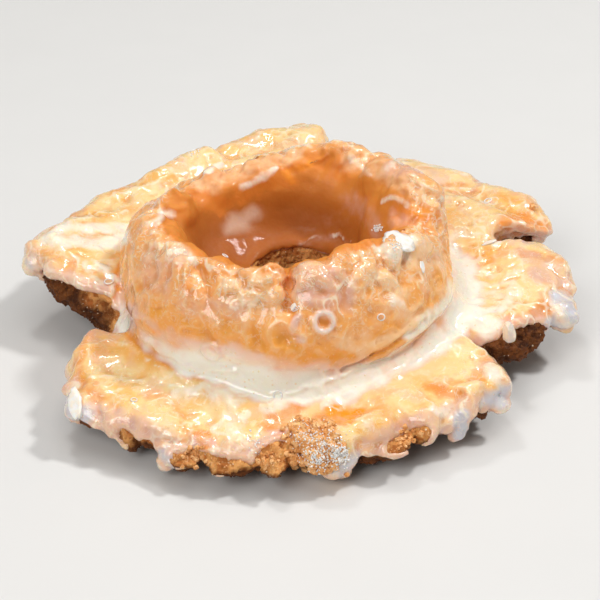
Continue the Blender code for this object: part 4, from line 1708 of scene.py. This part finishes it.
def glaze_material(settings):
    """Sugar glaze: amber where thin, milky where thick, with film lines, specks, a wet shine, and
    painted shade and highlights.
    """
    material, tree, surface = new_material("sugar_glaze")
    where = place_in(tree)
    cloud = noise_in(tree, where, 300.0, 3.0)
    grain = noise_in(tree, where, 1400.0, 2.0)
    crater = value_of(tree, "crater")
    outside = calculate(tree, "SUBTRACT", 1.0, crater)
    colour = thin_glaze(tree, settings, where, cloud, grain)

    # Clear and toasted patches, pale patches that are partly painted highlights, rosy rims, a
    # painted window reflection in the crater, and the hollows and knobs of the relief: painted shade
    # in the hollows and painted highlights on the knobs.
    for name, scale, ragged, most in (
        ("honey", 420.0, 0.35, 0.75), ("toast", 600.0, 0.40, 0.85), ("glow", 420.0, 0.40, 0.8)
    ):
        over = opaque(getattr(settings, name))
        colour = laid_over(tree, colour, mottled(tree, name, scale, ragged), most, over)
    rim = times(tree, mottled(tree, "rim", 420.0, 0.6), 0.95)
    rosy = calculate(tree, "MAXIMUM", mottled(tree, "blush", 380.0, 0.35), rim)
    colour = laid_over(tree, colour, rosy, 0.85, opaque(settings.blush))
    # The painted reflection of a window on the crater's left wall.
    colour = blended(tree, value_of(tree, "sheen"), colour, PAINTED_REFLECTION)
    hollow = value_of(tree, "hollow")
    colour = laid_over(tree, colour, stepped(tree, hollow, 0.15, 0.9), 0.50, HOLLOW_SHADE)
    colour = laid_over(tree, colour, stepped(tree, hollow, -0.2, -0.9), 0.28, KNOB_HIGHLIGHT)

    # The pool, thick milky glaze, clear glaze over holes, drops and beads whose white glaze is
    # greyed as painted shade, and the bubbles' rings.
    clearing = times(tree, stepped(tree, cloud, 0.46, 0.70), 0.20)
    pool = calculate(tree, "SUBTRACT", value_of(tree, "pool"), clearing)
    colour = laid_over(tree, colour, stepped(tree, pool, 0.0, 0.42), 0.65, VEIL)
    colour = laid_over(tree, colour, stepped(tree, pool, 0.26, 0.90), 0.95, POOL_MILK)
    thick = times(tree, stepped(tree, value_of(tree, "depth"), 0.70, 2.6), outside)
    milk = mottled(tree, "milk", 520.0, 0.40)
    milky = calculate(tree, "MAXIMUM", times(tree, thick, 0.8), milk)
    colour = laid_over(tree, colour, milky, 0.92, opaque(settings.milk))
    for name, scale in (("ember", 500.0), ("frost", 400.0)):
        over = opaque(getattr(settings, name))
        colour = blended(tree, mottled(tree, name, scale, 0.25), colour, over)
    colour = laid_over(tree, colour, value_of(tree, "ring"), 0.9, RING_PALE)

    # Lines and dots of drying sugar. The lines and ridges are lightened partly as painted
    # highlights, the glints along them.
    lines = use_group(tree, film_group(), {"Scale": 640.0, "Width": 0.042})
    drawn = times(tree, lines, value_of(tree, "wrinkled"))
    ridge = stepped(tree, value_of(tree, "ridge"), 0.45, 1.0)
    colour = laid_over(tree, colour, calculate(tree, "MAXIMUM", ridge, drawn), 0.66, CREAM_GLINT)
    dots = use_group(tree, speck_group(), {"Scale": 1300.0, "Size": 0.30, "Share": 0.22})
    dots = times(tree, dots, outside)
    colour = laid_over(tree, colour, dots, 0.45, PALE_AMBER)
    tree.links.new(colour, surface.inputs["Base Color"])

    # The shine is duller in the crater.
    rough = graded(tree, grain, 0.3, 0.7, 0.12, 0.30)
    rough = calculate(tree, "ADD", rough, times(tree, crater, 0.42))
    tree.links.new(rough, surface.inputs["Roughness"])
    tree.links.new(graded(tree, crater, 0.0, 1.0, 0.6, 0.06), surface.inputs["Coat Weight"])
    height = calculate(tree, "ADD", times(tree, drawn, 0.3), times(tree, grain, 0.18))
    height = calculate(tree, "ADD", height, times(tree, dots, 0.25))
    height = calculate(tree, "ADD", height, times(tree, cloud, 0.7))
    add_bump(tree, surface, height, 0.8, 0.00032)
    set_constants(surface, {
        "Specular IOR Level": 0.35,
        "Subsurface Weight": 0.30,
        "Subsurface Radius": (1.0, 0.42, 0.14),
        "Subsurface Scale": 0.0014,
        "Coat Roughness": 0.04,
    })
    return material


def sugar_material(settings):
    """Dried sugar: white with faint clear patches."""
    material, tree, surface = new_material("dried_sugar")
    cloud = noise_in(tree, place_in(tree), 900.0, 2.0)
    clear = stepped(tree, cloud, 0.40, 0.70)
    colour = blended(tree, clear, opaque(settings.sugar), CLEAR_SUGAR)
    tree.links.new(colour, surface.inputs["Base Color"])
    add_bump(tree, surface, cloud, 0.6, 0.0002)
    set_constants(surface, {
        "Roughness": 0.22,
        "Subsurface Weight": 0.35,
        "Subsurface Radius": (1.0, 0.8, 0.6),
        "Subsurface Scale": 0.0006,
    })
    return material


def crumb_material(settings):
    """Loose crumbs: light and dark fried dough."""
    material, tree, surface = new_material("fried_crumbs")
    where = place_in(tree)
    patch = stepped(tree, noise_in(tree, where, 700.0, 3.0), 0.42, 0.62)
    fine = noise_in(tree, where, 2600.0, 2.0)
    colour = blended(tree, patch, opaque(settings.crumb), LIGHT_CRUMB)
    colour = blended(tree, stepped(tree, fine, 0.56, 0.70), colour, DARK_CRUMB)
    tree.links.new(colour, surface.inputs["Base Color"])
    add_bump(tree, surface, fine, 0.8, 0.0002)
    set_constants(surface, {"Roughness": 0.42})
    return material


def floor_material(settings):
    """A plain pale floor with the faintest grain."""
    material, tree, surface = new_material("pale_floor")
    grain = noise_in(tree, place_in(tree), 60.0, 4.0)
    darker = tuple(part * 0.97 for part in settings.floor)
    colour = blended(tree, grain, opaque(settings.floor), opaque(darker))
    tree.links.new(colour, surface.inputs["Base Color"])
    set_constants(surface, {"Roughness": 0.7})
    return material


def jittered(solid, amount, draw):
    """Moves each corner of a small shape at random, so that no two are alike."""
    for corner in solid.verts:
        corner.co += Vector([draw.uniform(-amount, amount) for _ in range(3)])


def strewn(name, trees, scatters, draw, subdivisions, roughness, flatness):
    """One mesh of small uneven bodies, each resting on what the photo's camera sees there."""
    whole = bmesh.new()
    for scatter in scatters:
        for _ in range(scatter.count):
            pixel = [draw.gauss(middle, scatter.spread / 2) for middle in scatter.place]
            seen = seen_first(trees, pixel)
            size = scatter.size * draw.uniform(*SIZE_RANGE)
            turn = Matrix.Rotation(draw.uniform(0, math.tau), 4, "Z")
            tilt = Matrix.Rotation(draw.uniform(-MOST_TILT, MOST_TILT), 4, "X")
            length = size * draw.uniform(*STRETCH_RANGE)
            shape = Matrix.Diagonal((length, size, size * flatness, 1))
            if seen is None:
                continue
            place, normal = seen
            upright = normal.to_track_quat("Z", "Y").to_matrix().to_4x4()
            one = bmesh.new()
            bmesh.ops.create_icosphere(one, subdivisions=subdivisions, radius=0.5)
            jittered(one, roughness, draw)
            lift = Matrix.Translation(place + normal * size * flatness * REST_LIFT)
            bmesh.ops.transform(one, matrix=lift @ upright @ turn @ tilt @ shape, verts=one.verts)
            part = bpy.data.meshes.new("part")
            one.to_mesh(part)
            one.free()
            whole.from_mesh(part)
            bpy.data.meshes.remove(part)
    bmesh.ops.recalc_face_normals(whole, faces=whole.faces)
    mesh = bpy.data.meshes.new(name)
    whole.to_mesh(mesh)
    whole.free()
    return new_object(name, mesh)


class DOUGHNUT_OT_crust(bpy.types.Operator):
    """Make the fried crust, rough where no glaze covers it"""

    bl_idname = "doughnut.crust"
    bl_label = "Crust"

    def execute(self, context):
        settings = context.scene.doughnut_crust
        glaze = context.scene.doughnut_glaze
        piece = fine_copy("crust", settings.grid)
        tree = tree_of(piece)
        places, normals = places_of(piece), normals_of(piece)
        margin = glaze_margin(tree, places, normals, glaze.creep)
        bare = ease(0.5 - margin / BARE_FADE)
        flat_foot = ease(places[:, 2] / FOOT_FADE)
        lumps = knobs_at(places, settings.lump_size, 0.0, 0.8, 3.0)
        grit = knobs_at(places, settings.grit_size, 7.0, 0.6, 2.4)
        relief = settings.lump_depth * np.maximum(lumps, -0.5) + settings.grit_depth * grit
        move_to(piece, places + normals * (relief * bare * flat_foot * 0.5)[:, None])
        write_values(piece, "pit", np.clip(-lumps * 1.3, 0, 1))
        in_hole = ease((NECK_RADIUS + HOLE_MARGIN - neck_distance(places)) / MILLIMETRE)
        # Darker where the crust faces down and on bare crust away from the front: partly browner
        # crust, partly painted shade.
        below = ease(0.72 - normals[:, 2] * 1.5) * (1 - on_crown(places))
        from_front = places[:, 1] - CROWN_AXIS.y + FRONT_LINE
        behind_front = ease(from_front / FRONT_FADE) * (1 - in_hole)
        off_crown = crown_distance(places) - CROWN_RADIUS - PETAL_START
        behind_front *= ease(off_crown / PETAL_FADE)
        write_values(piece, "below", np.maximum(below * (1 - in_hole), behind_front))
        thin_where(piece, bare < LEAST_BARE, HIDDEN_KEPT)
        finish_piece(piece, crust_material(settings))
        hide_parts(NODE)
        return {"FINISHED"}


class DOUGHNUT_OT_glaze(bpy.types.Operator):
    """Pour the sugar glaze over the crust, with its pool, drops, seams and fissure"""

    bl_idname = "doughnut.glaze"
    bl_label = "Glaze"

    def execute(self, context):
        settings = context.scene.doughnut_glaze
        piece = fine_copy("glaze", settings.grid)
        tree = tree_of(piece)
        depth = glaze_depth(tree, piece, settings)
        move_to(piece, places_of(piece) + normals_of(piece) * depth[:, None])
        merged(piece, [add_pool(tree)] + [add_drop(drop) for drop in DROPS])
        apply_modifier(piece, "REMESH", mode="VOXEL", voxel_size=settings.grid)
        soften(piece, POUR_TURNS)
        surface = tree_of(piece)
        etch(piece, surface)
        self.tint(piece, tree, surface)
        finish_piece(piece, glaze_material(settings))
        return {"FINISHED"}

    def lighten(self, piece):
        """Merges flat faces until the piece is light enough."""
        piece.data.calc_loop_triangles()
        ratio = MOST_TRIANGLES / len(piece.data.loop_triangles)
        if ratio < 1:
            apply_modifier(piece, "DECIMATE", ratio=ratio)

    def tint(self, piece, tree, surface):
        """Stores what the material needs to know at each vertex."""
        thin_where(piece, height_over(tree, piece) < -HIDDEN_DEPTH, HIDDEN_KEPT)
        self.lighten(piece)
        places, normals = places_of(piece), normals_of(piece)
        waving = wandering(places)
        crown, to_crest = on_crown(places), crest_distance(places)
        in_pool = pool_share(places)
        inside = ease((CREST_RADIUS + CRATER_MARGIN - crown_distance(places)) / CRATER_FADE)
        inside = inside * ease((places[:, 2] - CRATER_BOTTOM) / (2 * MILLIMETRE))
        write_values(piece, "depth", height_over(tree, piece) * 1000)
        # How deep in a hollow or how high on a knob each vertex is, for painted shade in the hollows
        # and painted highlights on the knobs.
        hollow = np.clip(hollow_at(piece, HOLLOW_TURNS) / HOLLOW_DEPTH, -1, 1)
        dry = (1 - inside) * (1 - in_pool * (1 - crown))
        write_values(piece, "hollow", hollow * dry)
        write_values(piece, "crown", crown)
        on_petal = 0.55 * (1 - crown) * (1 - in_pool)
        wrinkled = np.maximum(1 - ease(to_crest / WRINKLED_REACH - 0.2), on_petal)
        write_values(piece, "wrinkled", wrinkled * (1 - inside))
        write_values(piece, "pool", pool_depth(places))
        write_values(piece, "ridge", self.ridges(places, waving, surface) * (1 - inside))
        write_values(piece, "crater", inside)
        creep = bpy.context.scene.doughnut_glaze.creep
        margin = glaze_margin(tree, places, normals, creep)
        to_edge = distance_between(places, margin > 0, margin <= 0)
        write_values(piece, "rim", (1 - ease(to_edge / RIM_WIDTH)) * (1 - crown))
        write_values(piece, "ring", bubble_paleness(surface, places))
        daubs = POOL_DAUBS + PETAL_DAUBS + CROWN_DAUBS
        # Some of these masks carry painted light: pale patches that are partly highlights, drops
        # greyed as shade, and a window's reflection in the crater.
        for name in ("milk", "blush", "toast", "honey", "frost", "ember", "glow", "sheen"):
            write_values(piece, name, daubed(surface, waving, daubs, name)[0])

    def ridges(self, places, waving, surface):
        """0 to 1: the film's ridges, stronger on the petals and the crest, and the raised folds."""
        crown = on_crown(places)
        film = ridges_at(places)
        off_crest = ease(crest_distance(places) / CREST_REACH - 0.4)
        near_crest = 0.35 + 0.65 * (1 - off_crest) * crown
        ridges = np.maximum(film * near_crest, film * (1 - crown))
        for fold in FOLDS:
            if fold.rise > 0:
                away = distance_to(waving, path_places(surface, fold.path))
                ridges = np.maximum(ridges, bell(away / fold.width * 1.2, 1))
        return ridges


class DOUGHNUT_OT_bubbles(bpy.types.Operator):
    """Make the small rings that bubbles leave in the glaze"""

    bl_idname = "doughnut.bubbles"
    bl_label = "Bubbles"

    def execute(self, context):
        tree = tree_of(bpy.data.objects["glaze"])
        rings = []
        for bubble in BUBBLES:
            if bubble.radius > SMALL_BUBBLE:
                continue
            place, normal = seen_at(tree, bubble.place)
            upright = normal.to_track_quat("Z", "Y")
            bpy.ops.object.select_all(action="DESELECT")
            bpy.ops.mesh.primitive_torus_add(
                major_radius=bubble.radius,
                minor_radius=bubble.radius * SMALL_RING,
                major_segments=36,
                minor_segments=12,
                location=place + normal * bubble.radius * SMALL_RING_LIFT,
                rotation=upright.to_euler(),
            )
            rings.append(context.object)
        for ring in rings:
            work_on(ring)
            bpy.ops.object.transform_apply(location=True, rotation=True, scale=True)
        piece = merged(rings[0], rings[1:])
        piece.name = "bubbles"
        finish_piece(piece, sugar_material(context.scene.doughnut_toppings))
        return {"FINISHED"}


class DOUGHNUT_OT_flakes(bpy.types.Operator):
    """Make the shards of dried glaze that lie on the crown and on the petals"""

    bl_idname = "doughnut.flakes"
    bl_label = "Flakes"

    def execute(self, context):
        settings = context.scene.doughnut_toppings
        draw = random.Random(settings.seed)
        tree = tree_of(bpy.data.objects["glaze"])
        chips = []
        for chip in CHIPS:
            seen = seen_at(tree, chip.place)
            if seen is None:
                raise RuntimeError(f"no glaze at {chip.place}")
            place, normal = seen
            normal = normal.lerp(Vector((0, 0, 1)), chip.level).normalized()
            bpy.ops.object.select_all(action="DESELECT")
            bpy.ops.mesh.primitive_ico_sphere_add(subdivisions=3, radius=0.5)
            piece = context.object
            shift = Vector([draw.uniform(0, 9) for _ in range(3)])
            for vertex in piece.data.vertices:
                waves = [
                    share * noise.noise(vertex.co * often + shift) for share, often in FLAKE_WAVES
                ]
                vertex.co *= sum(waves, 1)
                vertex.co.z = min(vertex.co.z, FLAKE_TOP)
            upright = normal.to_track_quat("Z", "X").to_matrix().to_4x4()
            turn = Matrix.Rotation(math.radians(chip.turn), 4, "Z")
            shape = Matrix.Diagonal((chip.length, chip.width, chip.thickness, 1))
            lift = Matrix.Translation(place + normal * chip.thickness * FLAKE_LIFT)
            piece.data.transform(lift @ upright @ turn @ shape)
            chips.append(piece)
        piece = merged(chips[0], chips[1:])
        piece.name = "flakes"
        finish_piece(piece, sugar_material(settings))
        return {"FINISHED"}


class DOUGHNUT_OT_sugar(bpy.types.Operator):
    """Strew the grains of sugar"""

    bl_idname = "doughnut.sugar"
    bl_label = "Sugar grains"

    def execute(self, context):
        settings = context.scene.doughnut_toppings
        draw = random.Random(settings.seed + 1)
        trees = [tree_of(bpy.data.objects[name]) for name in ("crust", "glaze", "crumbs")]
        piece = strewn("sugar_grains", trees, GRAINS, draw, 1, 0.10, 0.9)
        finish_piece(piece, sugar_material(settings), smooth=False)
        return {"FINISHED"}


class DOUGHNUT_OT_crumbs(bpy.types.Operator):
    """Strew the crumbs of crust"""

    bl_idname = "doughnut.crumbs"
    bl_label = "Crumbs"

    def execute(self, context):
        settings = context.scene.doughnut_toppings
        draw = random.Random(settings.seed + 2)
        trees = [tree_of(bpy.data.objects[name]) for name in ("crust", "glaze")]
        piece = strewn("crumbs", trees, CRUMBS, draw, 2, 0.13, 0.8)
        finish_piece(piece, crumb_material(settings), smooth=False)
        return {"FINISHED"}


class DOUGHNUT_OT_stage(bpy.types.Operator):
    """Set the floor, the lights and the camera at the photo's angle"""

    bl_idname = "doughnut.stage"
    bl_label = "Stage"

    def execute(self, context):
        settings = context.scene.doughnut_stage
        self.lay_floor(settings)
        for name, (size, place) in LIGHTS.items():
            self.add_light(name, getattr(settings, name), size, place)
        self.fill_air(context, settings)
        self.place_camera(context)
        context.scene.view_settings.view_transform = "Standard"
        return {"FINISHED"}

    def lay_floor(self, settings):
        """The floor that the doughnut rests on."""
        bpy.ops.object.select_all(action="DESELECT")
        bpy.ops.mesh.primitive_plane_add(size=6.0)
        floor = bpy.context.object
        floor.name = "floor"
        floor.data.materials.append(floor_material(settings))
        floor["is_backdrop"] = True

    def add_light(self, name, power, size, place):
        """A square light that faces the doughnut."""
        light = bpy.data.lights.new(name, "AREA")
        light.energy = power
        light.size = size
        lamp = new_object(name, light)
        lamp.location = place
        towards = Vector((0, 0, LIT_HEIGHT)) - Vector(place)
        lamp.rotation_euler = towards.to_track_quat("-Z", "Y").to_euler()

    def fill_air(self, context, settings):
        """Even light from all round."""
        world = bpy.data.worlds.new("air")
        world.use_nodes = True
        air = world.node_tree.nodes["Background"]
        air.inputs["Color"].default_value = AIR
        air.inputs["Strength"].default_value = settings.air
        context.scene.world = world

    def place_camera(self, context):
        """The camera where the photo's was."""
        lens = bpy.data.cameras.new("camera")
        lens.lens = PHOTO_LENS * 1000
        lens.sensor_width = PHOTO_SENSOR * 1000
        lens.clip_start = 0.01
        camera = new_object("camera", lens)
        camera.location = eye_place()
        camera.rotation_euler = (math.pi / 2 - PHOTO_ELEVATION, 0, 0)
        context.scene.camera = camera


STEPS = (
    DOUGHNUT_OT_crust,
    DOUGHNUT_OT_glaze,
    DOUGHNUT_OT_bubbles,
    DOUGHNUT_OT_flakes,
    DOUGHNUT_OT_crumbs,
    DOUGHNUT_OT_sugar,
    DOUGHNUT_OT_stage,
)


class DOUGHNUT_PT_panel(bpy.types.Panel):
    """The steps that make the doughnut, with their settings"""

    bl_idname = "DOUGHNUT_PT_panel"
    bl_label = "Doughnut"
    bl_space_type = "VIEW_3D"
    bl_region_type = "UI"
    bl_category = "Doughnut"

    def draw(self, context):
        for name in SETTINGS:
            settings = getattr(context.scene, name)
            for key in settings.bl_rna.properties.keys():
                if key not in ("rna_type", "name"):
                    self.layout.prop(settings, key)
        for step in STEPS:
            self.layout.operator(step.bl_idname)


SETTINGS = {
    "doughnut_crust": CrustSettings,
    "doughnut_glaze": GlazeSettings,
    "doughnut_toppings": ToppingSettings,
    "doughnut_stage": StageSettings,
}


def register():
    for kind in (*SETTINGS.values(), *STEPS, DOUGHNUT_PT_panel):
        bpy.utils.register_class(kind)
    for name, kind in SETTINGS.items():
        setattr(bpy.types.Scene, name, bpy.props.PointerProperty(type=kind))


def unregister():
    for name in SETTINGS:
        delattr(bpy.types.Scene, name)
    for kind in reversed((*SETTINGS.values(), *STEPS, DOUGHNUT_PT_panel)):
        bpy.utils.unregister_class(kind)


def write_sizes():
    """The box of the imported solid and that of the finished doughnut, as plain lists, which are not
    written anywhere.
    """
    boxes = {"cad": CAD_BOX, "visual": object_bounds()}
    plain = {name: [list(corner) for corner in box] for name, box in boxes.items()}


def main():
    register()
    bpy.ops.object.select_all(action="DESELECT")
    bpy.ops.doughnut.crust()
    bpy.ops.doughnut.glaze()
    bpy.ops.doughnut.bubbles()
    bpy.ops.doughnut.flakes()
    bpy.ops.doughnut.crumbs()
    bpy.ops.doughnut.sugar()
    bpy.ops.doughnut.stage()
    write_sizes()


if __name__ == "__main__":
    main()
